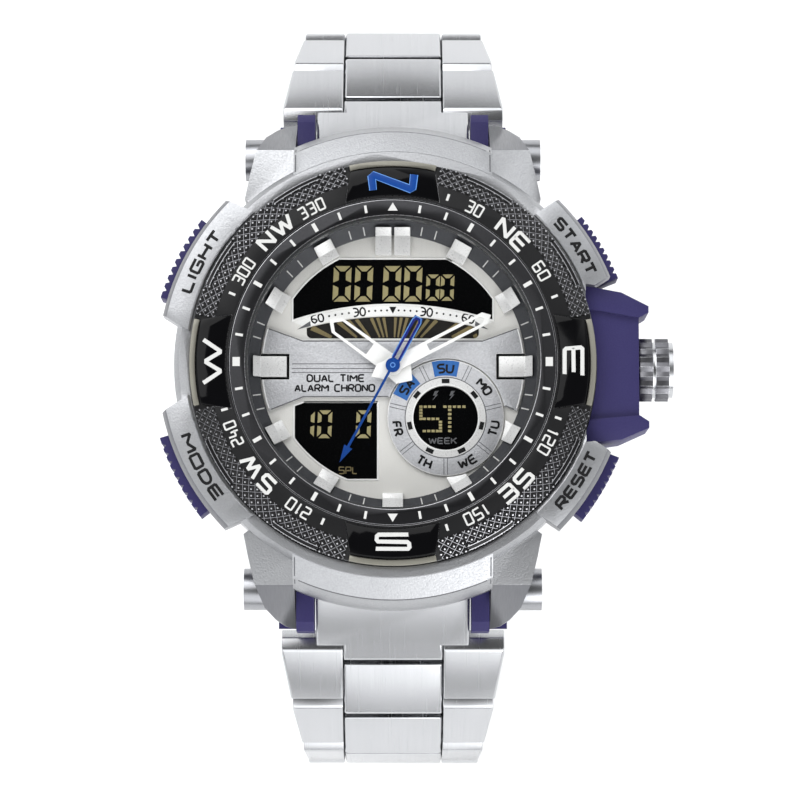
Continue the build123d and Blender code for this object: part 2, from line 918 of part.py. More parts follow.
def module_frame():
    body = works_slab(frame_bottom, frame_top)
    battery_top = frame_bottom + battery_thickness + pocket_gap
    body -= disc(battery_radius + pocket_gap, frame_bottom, battery_top, battery_x, battery_y)
    coil_half = coil_core_length / 2 + pocket_gap
    coil_side = coil_radius + pocket_gap
    body -= block(coil_x - coil_half, coil_x + coil_half, coil_y - coil_side, coil_y + coil_side,
                  frame_bottom, frame_bottom + 2 * coil_side)
    lever_end = stem_groove_start + stem_groove_width + crown_pull + pocket_gap
    lever_side = lever_half_width + pocket_gap
    body -= block(stem_inner - pocket_gap, lever_end, -lever_side, lever_side,
                  crown_height - stem_radius - lever_drop - pocket_gap, frame_top)
    body -= rod(stem_radius + pocket_gap, stem_inner, works_radius + overrun, 0, crown_height)
    body -= block(stem_inner, works_radius + overrun, -stem_radius - pocket_gap, stem_radius + pocket_gap,
                  crown_height, frame_top)
    return body - centre_hole(frame_top - pipe_depth, frame_top)


def circuit_board():
    return works_slab(frame_top, board_top) - centre_hole(frame_top, board_top)


def battery():
    return disc(battery_radius, frame_bottom, frame_bottom + battery_thickness, battery_x, battery_y)


def motor_coil():
    height = frame_bottom + coil_radius + pocket_gap
    start = coil_x - coil_length / 2
    body = rod(coil_radius, start, start + coil_length, coil_y, height)
    core_start = coil_x - coil_core_length / 2
    return body + rod(coil_core_radius, core_start, core_start + coil_core_length, coil_y, height)


def skeleton_hand(reach, width, boss, level, bore, clock):
    """A pointed frame hand with a solid foot and a short pointed tail."""
    half = width / 2
    window_start_share = 0.36
    window_end_share = 0.93
    tail_width_share = 1.25
    tail_shoulder_share = 0.55
    tail_half = half * tail_width_share
    outline = [
        (boss, half), (reach - half, half * window_end_share), (reach, 0),
        (reach - half, -half * window_end_share), (boss, -half),
        (-hand_tail * tail_shoulder_share, -tail_half), (-hand_tail, 0),
        (-hand_tail * tail_shoulder_share, tail_half),
    ]
    body = slab(outline, level, level + hand_thickness) + disc(boss, level, level + hand_thickness)
    inner = half - hand_border
    window = [
        (reach * window_start_share, inner), (reach * window_end_share - inner, inner),
        (reach * window_end_share, 0), (reach * window_end_share - inner, -inner),
        (reach * window_start_share, -inner),
    ]
    body -= slab(window, level, level + hand_thickness)
    body += disc(bore + pipe_wall, frame_top - pipe_depth + overrun, level)
    body -= disc(bore, frame_top - pipe_depth, level + hand_thickness)
    return at_clock(body, clock)


def hour_hand():
    bore = arbor_radius + 2 * running_gap + pipe_wall
    return skeleton_hand(hour_reach, hour_width, hour_pipe_radius(), hour_level, bore, hour_clock)


def minute_hand():
    bore = arbor_radius + running_gap
    return skeleton_hand(minute_reach, minute_width, hour_pipe_radius(), minute_level, bore, minute_clock)


def second_hand():
    """A needle with an arrow tip, a round boss and an open counterweight."""
    needle_share = 0.28
    arrow_share = 0.16
    half = second_width / 2
    top = second_level + hand_thickness
    outline = [
        (0, half * needle_share), (second_reach * (1 - arrow_share), half * needle_share),
        (second_reach * (1 - arrow_share), half), (second_reach, 0),
        (second_reach * (1 - arrow_share), -half), (second_reach * (1 - arrow_share), -half * needle_share),
        (0, -half * needle_share),
    ]
    body = slab(outline, second_level, top)
    body += block(-second_tail, 0, -half, half, second_level, top)
    inset = half * needle_share
    body -= block(-second_tail + inset, -second_boss_radius, -half + inset, half - inset, second_level, top)
    body += disc(second_boss_radius, second_level, top)
    body += disc(arbor_radius, frame_top - pipe_depth + overrun, second_level)
    return at_clock(body, second_clock)


def bezel_surface(radius):
    """Height of the bezel's top at a radius."""
    if radius <= bezel_flat_outer:
        return bezel_top
    share = (radius - bezel_flat_outer) / (bezel_outer - bezel_flat_outer)
    return bezel_top - share * bezel_slope_drop


def insert_outline(gap):
    """A cardinal insert in plan at three o'clock, grown by a gap."""
    wide = insert_half_width_inner + gap
    narrow = insert_half_width_outer + gap
    inner_x = sqrt(insert_inner ** 2 - insert_half_width_inner ** 2)
    outer_x = sqrt(insert_outer ** 2 - insert_half_width_outer ** 2)
    edges = [
        ThreePointArc((inner_x - gap, wide), (insert_inner - gap, 0), (inner_x - gap, -wide)),
        Line((inner_x - gap, -wide), (outer_x + gap, -narrow)),
        ThreePointArc((outer_x + gap, -narrow), (insert_outer + gap, 0), (outer_x + gap, narrow)),
        Line((outer_x + gap, narrow), (inner_x - gap, wide)),
    ]
    return make_face(edges)


def bezel_ring():
    body = turned([
        (minute_ring_outer + bezel_gap, bezel_bottom),
        (bezel_outer, bezel_bottom),
        (bezel_outer, bezel_surface(bezel_outer)),
        (bezel_flat_outer, bezel_top),
        (minute_ring_outer + bezel_gap, bezel_top),
    ])
    floor = bezel_top - insert_depth
    for clock in (0, 90, 180, 270):
        seat = raise_face(insert_outline(fit_gap), floor, bezel_top + overrun)
        body -= at_clock(seat, clock)
        half = degrees(asin(insert_half_width_outer / insert_outer))
        bar_floor = bezel_surface(bezel_outer) - slot_depth
        body -= arc_block(bar_inner, half, bezel_outer + overrun, half, clock, bar_floor, bezel_top + overrun)
        for side in (-1, 1):
            middle = clock + 45 + side * slot_offset_angle
            body -= arc_block(slot_inner, slot_half_angle, bezel_outer + overrun, slot_half_angle, middle,
                              bar_floor, bezel_top + overrun)
    return body


def bezel_inserts():
    """Four gloss inserts and the four bars outside them."""
    floor = bezel_top - insert_depth
    pieces = []
    for clock in (0, 90, 180, 270):
        pieces.append(at_clock(raise_face(insert_outline(0), floor, bezel_top + insert_proud), clock))
        half = degrees(asin((insert_half_width_outer - fit_gap) / insert_outer))
        bar_floor = bezel_surface(bezel_outer) - slot_depth
        pieces.append(arc_block(bar_inner + fit_gap, half, bezel_outer, half, clock, bar_floor,
                                bezel_top - bezel_slope_drop / 2))
    return pieces


def tooth_grooves(clock, half):
    """The notches across a cap's outer face, between its teeth."""
    pitch = 2 * half / button_tooth_count
    root = button_outer - button_tooth_depth
    low = button_height - button_half_tall
    high = button_height + button_half_tall
    grooves = []
    for step in range(1, button_tooth_count):
        middle = clock - half + step * pitch
        spread = pitch * button_tooth_share
        points = [clock_point(root, middle), clock_point(button_outer + overrun / 2, middle + spread),
                  clock_point(button_outer + overrun / 2, middle - spread)]
        grooves.append(slab(points, low, high))
    return grooves


def button(clock, half):
    """A curved cap with a toothed face, on a stem held by a clip inside the case."""
    cap = arc_block(button_inner, half, button_outer, half, clock, button_height - button_half_tall,
                    button_height + button_half_tall)
    for groove in tooth_grooves(clock, half):
        cap -= groove
    clip_outer = cavity_radius - body_gap - running_gap
    clip_inner = clip_outer - button_clip_thickness
    stem = rod(button_stem_radius, clip_inner, button_inner + overrun, 0, button_height)
    clip = rod(button_clip_radius, clip_inner, clip_outer, 0, button_height)
    return cap + at_clock(stem + clip, clock)


def button_spring(clock):
    """A coil of square wire round the stem, seated in its bore and against the cap."""
    start = shell_inner + fit_gap + spring_wire / 2
    end = button_inner - fit_gap - spring_wire / 2
    steps = spring_turns * spring_sides
    points = []
    for step in range(steps + 1):
        turn = radians(full_angle * step / spring_sides)
        along = start + (end - start) * step / steps
        points.append((along, spring_radius * cos(turn), button_height + spring_radius * sin(turn)))
    path = Polyline(points)
    section = Plane(origin=points[0], z_dir=path % 0) * Rectangle(spring_wire, spring_wire)
    coil = sweep(section, path=path, transition=Transition.RIGHT)
    return at_clock(coil, clock)


def flute_wheel(start, end, groove_depth=0):
    """A length of the crown with its flutes, along x."""
    points = []
    for step in range(2 * crown_flutes):
        radius = crown_radius - groove_depth - (step % 2) * crown_flute_depth
        turn = radians(half_angle * step / crown_flutes)
        points.append((start, radius * cos(turn), crown_height + radius * sin(turn)))
    face = make_face(Polyline(points, close=True))
    return extrude(face, amount=end - start, dir=(1, 0, 0))


def crown():
    middle = (crown_inner + crown_outer - crown_end_chamfer) / 2
    half_groove = crown_groove_width / 2
    end_start = crown_outer - crown_end_chamfer
    body = flute_wheel(crown_inner, middle - half_groove)
    body += flute_wheel(middle + half_groove, end_start)
    core = crown_radius - crown_groove_depth
    body += rod(core, crown_inner, crown_outer, 0, crown_height)
    socket = rod(stem_radius + fit_gap, crown_inner, middle, 0, crown_height)
    return body - socket


def crown_stem():
    middle = (crown_inner + crown_outer - crown_end_chamfer) / 2
    groove_end = stem_groove_start + stem_groove_width
    body = rod(stem_radius, stem_inner, stem_groove_start, 0, crown_height)
    body += rod(stem_groove_radius, stem_groove_start, groove_end, 0, crown_height)
    return body + rod(stem_radius, groove_end, middle, 0, crown_height)


def setting_lever():
    """A fork in the stem's groove that moves with the crown's pull."""
    start = stem_groove_start + running_gap
    end = stem_groove_start + stem_groove_width - running_gap
    low = crown_height - stem_radius - lever_drop
    high = crown_height + stem_groove_radius
    body = block(start, end, -lever_half_width, lever_half_width, low, high)
    slot = stem_groove_radius + running_gap
    body -= rod(slot, start, end, 0, crown_height)
    return body - block(start, end, -slot, slot, crown_height, high)


def nose_side(centre, facing):
    """Upper points of a nose of three flats round a pin, from the link's face to its front."""
    flat = radians(link_flat_angle)
    corner = sqrt(link_barrel ** 2 - link_half_thick ** 2)
    return [
        (centre + facing * corner, link_half_thick),
        (centre + facing * link_barrel * cos(flat), link_barrel * sin(flat)),
    ]


def mouth_side(centre, facing):
    """Upper points of the hollow that takes the next link's nose."""
    hollow = link_barrel + link_gap
    flat = radians(link_flat_angle)
    corner = sqrt(hollow ** 2 - link_half_thick ** 2)
    return [
        (centre + facing * corner, link_half_thick),
        (centre + facing * hollow * cos(flat), hollow * sin(flat)),
    ]


def closed_link(back_side, front_side):
    """A whole link outline from the upper points of its two ends, face points first."""
    upper = back_side[::-1] + front_side
    return upper + [(along, -out) for along, out in reversed(upper)]


def link_slab(points, x_low, x_high):
    """A link outline along and across its length, given its width along x."""
    face = make_face(Polyline([(along, out, x_low) for along, out in points], close=True))
    return extrude(face, amount=x_high - x_low, dir=(0, 0, 1))


def pin_rod(radius, half_length, along=0, out=0):
    """A pin across a link, in the link's own frame."""
    return Pos(along, out, 0) * Cylinder(radius, 2 * half_length)


def link_frame(y, z, slope):
    """A link's own frame: along the bracelet, outwards, and across."""
    direction = (0, cos(radians(slope)), -sin(radians(slope)))
    return Plane(origin=(0, y, z), x_dir=direction, z_dir=(1, 0, 0)).location


def chain_pivots(slopes):
    """Where the pins lie on the twelve o'clock side, in y and height."""
    points = [(first_pivot_y, first_pivot_z)]
    for slope in slopes:
        y, z = points[-1]
        points.append((y + link_pitch * cos(radians(slope)), z - link_pitch * sin(radians(slope))))
    return points


def outer_pair(points, start_half, end_half):
    """The two outer pieces of a link, narrowing towards its end, with the pin pressed into them."""
    body = link_slab(points, pair_start, start_half)
    if start_half > end_half:
        above = link_barrel + overrun
        taper = Polyline([
            (0, above, start_half),
            (link_pitch, above, end_half),
            (link_pitch, above, start_half + overrun),
            (0, above, start_half + overrun),
        ], close=True)
        body -= extrude(make_face(taper), amount=2 * above, dir=(0, -1, 0))
    pad = Box(pad_length, pad_height, body_gap)
    body += Pos(link_pitch / 2, 0, (centre_width + body_gap) / 2) * pad
    return body + pin_rod(link_pin_radius, pair_start) + mirror(body, about=Plane.XY)


def link_unit(start_half, end_half):
    """The outer pieces with their pin, and the centre piece, in the link's own frame."""
    outline = closed_link(nose_side(0, -1), mouth_side(link_pitch, -1))
    outers = outer_pair(outline, start_half, end_half)
    centre = link_slab(closed_link(mouth_side(0, 1), nose_side(link_pitch, 1)),
                       -centre_width / 2, centre_width / 2)
    centre -= pin_rod(link_pin_radius + running_gap, centre_width, along=link_pitch)
    return [outers, centre]


def clasp_end_unit(half):
    """The last link at six o'clock, whose ears take the clasp's spring bar."""
    outers = outer_pair(closed_link(nose_side(0, -1), nose_side(link_pitch, 1)), half, half)
    tip_hole = pin_rod(spring_tip_radius, centre_width / 2 + spring_tip_depth, along=link_pitch)
    outers -= tip_hole
    reach = link_pitch - tube_radius - tube_gap
    end = sqrt(reach ** 2 - link_half_thick ** 2)
    centre = link_slab(closed_link(mouth_side(0, 1), [(end, link_half_thick)]),
                       -centre_width / 2, centre_width / 2)
    return [outers, centre]


def end_link():
    """The solid link that fills the bay between the lugs."""
    reach = hypot(first_pivot_y - lug_pivot_y, first_pivot_z - lug_pivot_z)
    body = link_slab(closed_link(nose_side(0, -1), mouth_side(reach, -1)), -end_link_half, end_link_half)
    tongue = closed_link([(reach / 2, link_half_thick)], nose_side(reach, 1))
    body += link_slab(tongue, -centre_width / 2, centre_width / 2)
    body -= pin_rod(lug_bar_radius + running_gap, end_link_half + overrun)
    body -= pin_rod(link_pin_radius + running_gap, centre_width, along=reach)
    slope = degrees(atan2(lug_pivot_z - first_pivot_z, first_pivot_y - lug_pivot_y))
    return link_frame(lug_pivot_y, lug_pivot_z, slope) * body


PIVOTS = chain_pivots(slope_angles_twelve)
COVER_PIVOT = PIVOTS[len(slope_angles_twelve)]
TUBE_PIVOT = PIVOTS[len(slope_angles_six)]
tube_along = COVER_PIVOT[0] + TUBE_PIVOT[0]
tube_level = COVER_PIVOT[1] - TUBE_PIVOT[1]
hinge_low_along = tube_along - tube_to_hinge
cover_length = tube_along - cover_end_room
cover_plate_end = hinge_low_along + plate_past_hinge
cover_floor = link_half_thick - cover_plate_thickness
middle_level = cover_floor - body_gap - knuckle_radius
inner_level = middle_level - knuckle_radius - body_gap - blade_thickness / 2
hinge_high_level = (middle_level + inner_level) / 2


def band(along_low, along_high, out_low, out_high, half):
    """A plain bar of the clasp, equally wide both ways across."""
    points = [(along_low, out_low), (along_high, out_low), (along_high, out_high), (along_low, out_high)]
    return link_slab(points, -half, half)


def clasp_cover():
    """The cover: a shallow channel whose ears hold the pin of the last link."""
    half = clasp_half
    body = band(cover_plate_start, cover_plate_end, cover_floor, link_half_thick, half)
    ear = closed_link(nose_side(0, -1), [(cover_ear_end, link_half_thick)])
    wall = [
        (cover_wall_start, -cover_wall_up), (cover_length, -cover_wall_up),
        (cover_length, cover_floor), (cover_plate_end, link_half_thick), (cover_wall_start, link_half_thick),
    ]
    ears = link_slab(ear, pair_start, half) + link_slab(wall, cover_wall_inner, half)
    body += ears
    body += mirror(ears, about=Plane.XY)
    body += pin_rod(link_pin_radius, pair_start)
    return body - pin_rod(clasp_pin_radius + running_gap, half + overrun, hinge_low_along, middle_level)


def blade_window(level):
    """The long opening in a blade."""
    return band(hinge_high_along + blade_window_end, hinge_low_along - blade_window_end,
                level - blade_thickness, level + blade_thickness, blade_half - blade_window_inset)


def clasp_middle_blade():
    """The blade between the two hinges, in one piece with both hinge pins."""
    low = middle_level - blade_thickness / 2
    high = middle_level + blade_thickness / 2
    body = band(hinge_high_along, hinge_low_along, low, high, blade_half)
    body += pin_rod(knuckle_radius, blade_half, hinge_low_along, middle_level)
    side = pin_rod(knuckle_radius, blade_half, hinge_high_along, hinge_high_level)
    body += side
    room_end = hinge_high_along + knuckle_radius + body_gap
    body -= band(hinge_high_along - knuckle_radius - overrun, room_end, inner_level - overrun,
                 high + overrun, inner_knuckle_half + body_gap)
    body -= blade_window(middle_level)
    body += pin_rod(clasp_pin_radius, clasp_half - clasp_pin_recess, hinge_low_along, middle_level)
    return body + pin_rod(clasp_pin_radius, blade_half, hinge_high_along, hinge_high_level)


def clasp_inner_blade():
    """The blade nearest the wrist, with the tube for the spring bar at its end."""
    low = inner_level - blade_thickness / 2
    high = inner_level + blade_thickness / 2
    room_end = hinge_high_along + knuckle_radius + body_gap
    body = band(room_end, cover_length, low, high, blade_half)
    body += band(hinge_high_along, room_end, low, high, inner_knuckle_half)
    body += band(cover_length, tube_along, low, high, tube_half)
    body += pin_rod(knuckle_radius, inner_knuckle_half, hinge_high_along, hinge_high_level)
    body += pin_rod(tube_radius, tube_half, tube_along, tube_level)
    body -= blade_window(inner_level)
    body -= pin_rod(clasp_pin_radius + running_gap, inner_knuckle_half + overrun,
                    hinge_high_along, hinge_high_level)
    return body - pin_rod(spring_bar_radius + running_gap, tube_half + overrun, tube_along, tube_level)


def spring_bar():
    return pin_rod(spring_bar_radius, tube_half - body_gap, tube_along, tube_level)


save("mid_case", mid_case())
save("case_shell", case_shell())
save("crown_guard", crown_guard())
save("case_back", case_back())
save("case_back_gasket", case_back_gasket())
save("lug_screws", *lug_screws())
save("lug_bars", *lug_bars())
save("crystal", crystal())
save("crystal_gasket", crystal_gasket())
save("minute_ring", minute_ring())
save("chapter_ring", chapter_ring())
save("dial_plate", dial_plate())
save("dial_bridge", dial_bridge())
save("weekday_ring", weekday_ring())
save("hour_markers", *hour_markers())
save("display_upper", display(display_upper_edge, works_radius))
save("display_lower", display(-works_radius, display_lower_edge))
save("module_frame", module_frame())
save("circuit_board", circuit_board())
save("battery", battery())
save("motor_coil", motor_coil())
save("sounder", disc(sounder_radius, back_thickness, back_thickness + sounder_thickness))
save("bezel_ring", bezel_ring())
save("bezel_inserts", *bezel_inserts())
save("hour_hand", hour_hand())
save("minute_hand", minute_hand())
save("second_hand", second_hand())
for name, (clock, half) in BUTTONS.items():
    save(f"button_{name}", button(clock, half))
    save(f"spring_{name}", button_spring(clock))
save("crown", crown())
save("crown_stem", crown_stem())
save("setting_lever", setting_lever())

for side_name, turn in (("12", 0), ("6", half_angle)):
    save(f"end_link_{side_name}", Rot(0, 0, turn) * end_link())

half_widths = [root_half, second_half, third_half]
half_widths += [clasp_half] * (len(slope_angles_twelve) - 1)
for side_name, turn, slopes in (("12", 0, slope_angles_twelve), ("6", half_angle, slope_angles_six)):
    for index, slope in enumerate(slopes):
        if slopes is slope_angles_six and index == len(slope_angles_six) - 1:
            pieces = clasp_end_unit(half_widths[index])
        else:
            pieces = link_unit(half_widths[index], half_widths[index + 1])
        place = Rot(0, 0, turn) * link_frame(*PIVOTS[index], slope)
        save(f"link_{side_name}_{index + 1}", *[place * piece for piece in pieces])

cover_place = link_frame(*COVER_PIVOT, clasp_slope_angle)
save("clasp_cover", cover_place * clasp_cover())
save("clasp_middle_blade", cover_place * clasp_middle_blade())
save("clasp_inner_blade", cover_place * clasp_inner_blade())
save("spring_bar", cover_place * spring_bar())
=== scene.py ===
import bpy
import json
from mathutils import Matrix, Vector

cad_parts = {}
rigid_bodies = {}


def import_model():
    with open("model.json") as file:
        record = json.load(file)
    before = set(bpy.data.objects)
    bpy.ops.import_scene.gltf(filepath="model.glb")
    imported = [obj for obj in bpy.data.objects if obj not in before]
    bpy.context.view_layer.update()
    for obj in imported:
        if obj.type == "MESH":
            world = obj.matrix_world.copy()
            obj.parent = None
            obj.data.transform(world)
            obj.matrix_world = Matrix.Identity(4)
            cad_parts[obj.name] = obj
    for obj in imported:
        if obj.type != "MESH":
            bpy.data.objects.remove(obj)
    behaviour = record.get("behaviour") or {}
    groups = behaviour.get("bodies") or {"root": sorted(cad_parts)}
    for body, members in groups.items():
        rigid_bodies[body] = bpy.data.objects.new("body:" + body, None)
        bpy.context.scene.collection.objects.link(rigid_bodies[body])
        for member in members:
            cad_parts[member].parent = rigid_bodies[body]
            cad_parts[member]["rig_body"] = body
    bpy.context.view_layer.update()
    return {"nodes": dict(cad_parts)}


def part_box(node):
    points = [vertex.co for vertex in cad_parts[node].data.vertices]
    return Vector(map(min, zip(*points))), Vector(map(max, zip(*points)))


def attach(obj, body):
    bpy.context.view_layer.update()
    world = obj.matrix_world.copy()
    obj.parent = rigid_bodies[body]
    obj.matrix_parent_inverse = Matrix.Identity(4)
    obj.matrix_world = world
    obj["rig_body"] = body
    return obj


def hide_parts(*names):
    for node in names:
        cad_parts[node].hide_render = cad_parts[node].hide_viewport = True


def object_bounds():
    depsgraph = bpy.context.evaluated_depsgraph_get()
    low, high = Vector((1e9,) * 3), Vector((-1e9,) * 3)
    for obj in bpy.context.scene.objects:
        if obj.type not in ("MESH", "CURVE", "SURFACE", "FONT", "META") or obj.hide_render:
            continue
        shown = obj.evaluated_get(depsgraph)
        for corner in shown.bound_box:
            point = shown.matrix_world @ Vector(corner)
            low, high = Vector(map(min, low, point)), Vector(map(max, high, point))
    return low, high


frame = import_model()

import json
from math import asin, atan2, cos, degrees, pi, radians, sin, sqrt

import bpy
from mathutils import Matrix, Vector

# The watch lies on its clasp and looks up. Lengths are in millimetres until they reach a mesh.
# Clock angles run clockwise from twelve, seen from the front.
MM = 0.001
NODES = frame["nodes"]

# Heights of the CAD parts that print and trim lie on
DISPLAY_TOP = 8.4
DIAL_TOP = 8.9
RING_TOP = 9.35
BRIDGE_TOP = 9.4
HUB_TOP = 11.0
GUARD_TOP = 13.3
MINUTE_RING_TOP = 14.4
BEZEL_TOP = 14.45
INSERT_TOP = 14.65
# Thicknesses of print
PRINT = 0.03
THIN = 0.02

# The flange rises outwards from its foot
FLANGE_FOOT_RADIUS = 14.8
FLANGE_FOOT_HEIGHT = 9.2
FLANGE_SLOPE = degrees(atan2(1.35, 1.5))
# The bezel falls outwards; the middle of its slope is so far out and so far below its top
SLOPE_RUN = 2.2
SLOPE_FALL = 1.1
SLOPE = atan2(SLOPE_FALL, SLOPE_RUN)
SLOPE_RADIUS = 21.3
SLOPE_LEVEL = BEZEL_TOP - 0.55
# The inserts' letters are sunk, so that they end flush with the inserts in the CAD
LETTER_SINK = 0.07
LETTER_LEVEL = INSERT_TOP - LETTER_SINK
BAR_RADIUS = 21.68
# Radii of the print on the bezel, its inserts and the fixed ring
NUMBER_RADIUS = 19.2
CORNER_RADIUS = 19.3
CARDINAL_RADIUS = 19.9
NORTH_RADIUS = 20.0
RING_MARK_RADIUS = 17.15
# Where the shell's lugs begin, beside its arches, and the bore inside the mid case
ARCH_HALF_WIDTH = 10.85
ARCH_START = 20
LUG_RADIUS = 24.3
BORE_RADIUS = 17.5
# The crown's axis, groove and end, and between which radii its flutes lie
CROWN_HEIGHT = 5.6
CROWN_GROOVE = 29.17
CROWN_END = 30.7
FLUTE_FOOT, FLUTE_CREST = 2.4, 3.42
# The height of the wrist's middle, which the links turn their backs on
WRIST_LEVEL = -23.65
WEEKDAY_CENTRE = (5.87, -5.7)


# ---------------------------------------------------------------- materials

# Share of the fine grain in a colour, and the size of the clouds that make up the rest
FINE_SHARE = 0.6
CLOUD = 6
# Plastics, inks and black gloss reflect little; seals and boards more, a touch less than glass
MATT = {"IOR": 1.5, "Specular IOR Level": 0.15}
GLOSS = {"IOR": 1.5, "Specular IOR Level": 0.3}


def linear(code):
    """An sRGB hex colour as linear values."""
    parts = [int(code[start:start + 2], 16) / 255 for start in (1, 3, 5)]
    return [part / 12.92 if part <= 0.04045 else ((part + 0.055) / 1.055) ** 2.4
            for part in parts] + [1.0]


def add(tree, kind, settings=None, links=None):
    """Adds one shader node with its settings and what feeds it, and gives its outputs."""
    made = tree.nodes.new("ShaderNode" + kind)
    for key, value in (settings or {}).items():
        if isinstance(key, int) or key in made.inputs:
            made.inputs[key].default_value = value
        else:
            setattr(made, key, value)
    for key, source in (links or {}).items():
        tree.links.new(source, made.inputs[key])
    return made.outputs


def finish(name, colour, shade, metallic, roughness, spread, grain, height, turned=False,
           **shader):
    """A material whose grain drives its colour, gloss and relief.

    Colour and shade are its two tones, spread is how far its roughness wanders, grain is the
    grain's size in millimetres, alike or along x, y and z, and height is how far it stands up.
    """
    material = bpy.data.materials.new(name)
    material.use_nodes = True
    tree = material.node_tree
    tree.nodes.clear()
    sizes = (grain,) * 3 if isinstance(grain, float) else grain
    place = add(tree, "TexCoord")["Object"]
    close = add(tree, "Mapping", {"Scale": [1 / (size * MM) for size in sizes]}, {"Vector": place})
    fine = add(tree, "TexNoise", {"Scale": 1.0, "Detail": 3.0}, {"Vector": close[0]})["Fac"]
    broad = add(tree, "TexNoise", {"Scale": 1 / (CLOUD * MM), "Detail": 2.0}, {"Vector": place})
    share = add(tree, "Math", {"operation": "MULTIPLY", 1: FINE_SHARE}, {0: fine})
    blend = add(tree, "Math", {"operation": "MULTIPLY_ADD", 1: 1 - FINE_SHARE},
                {0: broad["Fac"], 2: share[0]})
    tint = add(tree, "Mix", {"data_type": "RGBA", 6: linear(colour), 7: linear(shade)},
               {0: blend[0]})
    gloss = add(tree, "MapRange", {"From Min": 0.3, "From Max": 0.7, "To Min": roughness - spread,
                                   "To Max": roughness + spread}, {"Value": fine})
    relief = add(tree, "Bump", {"Strength": 1.0, "Distance": height * MM}, {"Height": fine})
    links = {"Base Color": tint[2], "Roughness": gloss[0], "Normal": relief[0]}
    if turned:
        links["Tangent"] = add(tree, "VectorMath", {"operation": "CROSS_PRODUCT", 1: (0, 0, 1)},
                               {0: place})[0]
    surface = add(tree, "BsdfPrincipled", {"Metallic": metallic, **shader}, links)
    add(tree, "OutputMaterial", links={"Surface": surface[0]})
    return material


def enamel(name, colour, shade, roughness=0.3):
    """Smooth matt paint, print or display segments."""
    return finish(name, colour, shade, 0.0, roughness, 0.05, 0.3, 0.002, **MATT)


def ink(name, colour, shade):
    """Pad print; also used for painted shade."""
    return finish(name, colour, shade, 0.0, 0.5, 0.06, 0.2, 0.002, **MATT)


# Cast and machined 316 steel, bead blasted: soft light grey with a fine even sparkle
BLASTED = finish("bead_blasted_steel", "#B0B1B3", "#96979A", 1.0, 0.42, 0.06, 0.2, 0.03)
# The same steel drawn over a belt: fine lines along the bracelet
BRUSHED = finish("belt_brushed_steel", "#C2C3C5", "#B2B3B6", 1.0, 0.26, 0.015,
                 (0.12, 12.0, 12.0), 0.0008)
# Ground facets on the ends of the lugs and turned screws: darker than the blasted faces. The
# facets' dark steel, on the lug slopes and the shell's bevels, is painted shade
SHADED_FACET = finish("lug_facet_painted_shade", "#77787C", "#636468", 1.0, 0.34, 0.03, (0.1, 2.0, 2.0), 0.001)
SCREW = finish("turned_screw_steel", "#A4A5A8", "#8C8D91", 1.0, 0.3, 0.03, 0.15, 0.002)
# Buffed edges: near mirror with faint wipe marks
POLISHED = finish("buffed_steel", "#E0E1E3", "#D0D2D5", 1.0, 0.12, 0.04, 0.5, 0.001)
# Cold drawn wire
WIRE = finish("drawn_spring_wire", "#B4B5B8", "#9A9B9E", 1.0, 0.3, 0.08, (0.05, 0.6, 0.05), 0.004)
# Moulded nylon in indigo: satin, with the mould's fine texture
INDIGO = finish("moulded_indigo_nylon", "#38345F", "#2E2A54", 0.0, 0.5, 0.07, 0.16, 0.02, **MATT)
# Moulded nitrile
RUBBER = finish("moulded_nitrile", "#1E1E1F", "#161617", 0.0, 0.75, 0.08, 0.2, 0.01, **MATT)
# Clear nylon seal round the crystal, seen as a thin pale ring
SEAL = finish("clear_nylon_seal", "#4A4B4C", "#3C3D3E", 0.0, 0.3, 0.05, 0.4, 0.002, **GLOSS)
# Black lacquer over steel, polished
LACQUER = finish("gloss_black_lacquer", "#0B0B0D", "#060607", 0.0, 0.07, 0.02, 1.2, 0.001, **MATT)
# Smoked plating over a lathe turned ring: its turning lines spread the shine across them
SMOKED = finish("smoked_turned_ring", "#39393B", "#2B2B2D", 0.9, 0.34, 0.03, 0.3, 0.001, True,
                Anisotropic=0.8)
# Black plating over blasted steel
BLACK_PLATE = finish("matt_black_plating", "#1F1F20", "#161617", 0.0, 0.4, 0.06, 0.1, 0.006,
                     **MATT)
# The same plating rubbed through on crests and edges, and half worn on the knurl's lines
CREST = finish("rubbed_plating", "#A8A8AA", "#86868A", 1.0, 0.28, 0.06, 0.18, 0.004)
WORN = finish("worn_plating", "#8A8A8D", "#6C6C70", 1.0, 0.3, 0.06, 0.18, 0.004)
# Painted shade in the crown's flutes: a darker steel on their sides
FLUTE_SHADE = finish("flute_painted_shade", "#7C7C80", "#56565A", 1.0, 0.35, 0.06, 0.2, 0.003)
# Grey satin bars outside the inserts
BAR = finish("satin_grey_bar", "#8E8C82", "#7A786E", 0.3, 0.4, 0.06, 0.15, 0.004)
# Grey satin paint of the flange
FLANGE = finish("satin_flange_paint", "#4C4D50", "#3E3F42", 0.2, 0.4, 0.05, 0.15, 0.004, **MATT)
# Silver dial, brushed upright and lacquered
DIAL = finish("brushed_dial_silver", "#ECEBE7", "#D8D7D2", 0.15, 0.34, 0.06, (0.07, 5.0, 1.0),
              0.004)
# Grained silver of the bridge: a coarser sand finish
SAND = finish("sand_grained_silver", "#DCDDE0", "#95969A", 0.25, 0.45, 0.08, 0.24, 0.09)
# Pale satin silver of markers and frames
SATIN = finish("satin_silver_paint", "#E6E6E5", "#D6D6D5", 0.2, 0.3, 0.05, 0.2, 0.003)
# Black glass of the digital displays
DISPLAY = finish("black_display_glass", "#060607", "#020202", 0.0, 0.08, 0.02, 2.0, 0.0005,
                 **MATT)
# Liquid crystal segments that let a khaki backing through
SEGMENT = enamel("khaki_display_segment", "#A69D73", "#8E855F", 0.5)
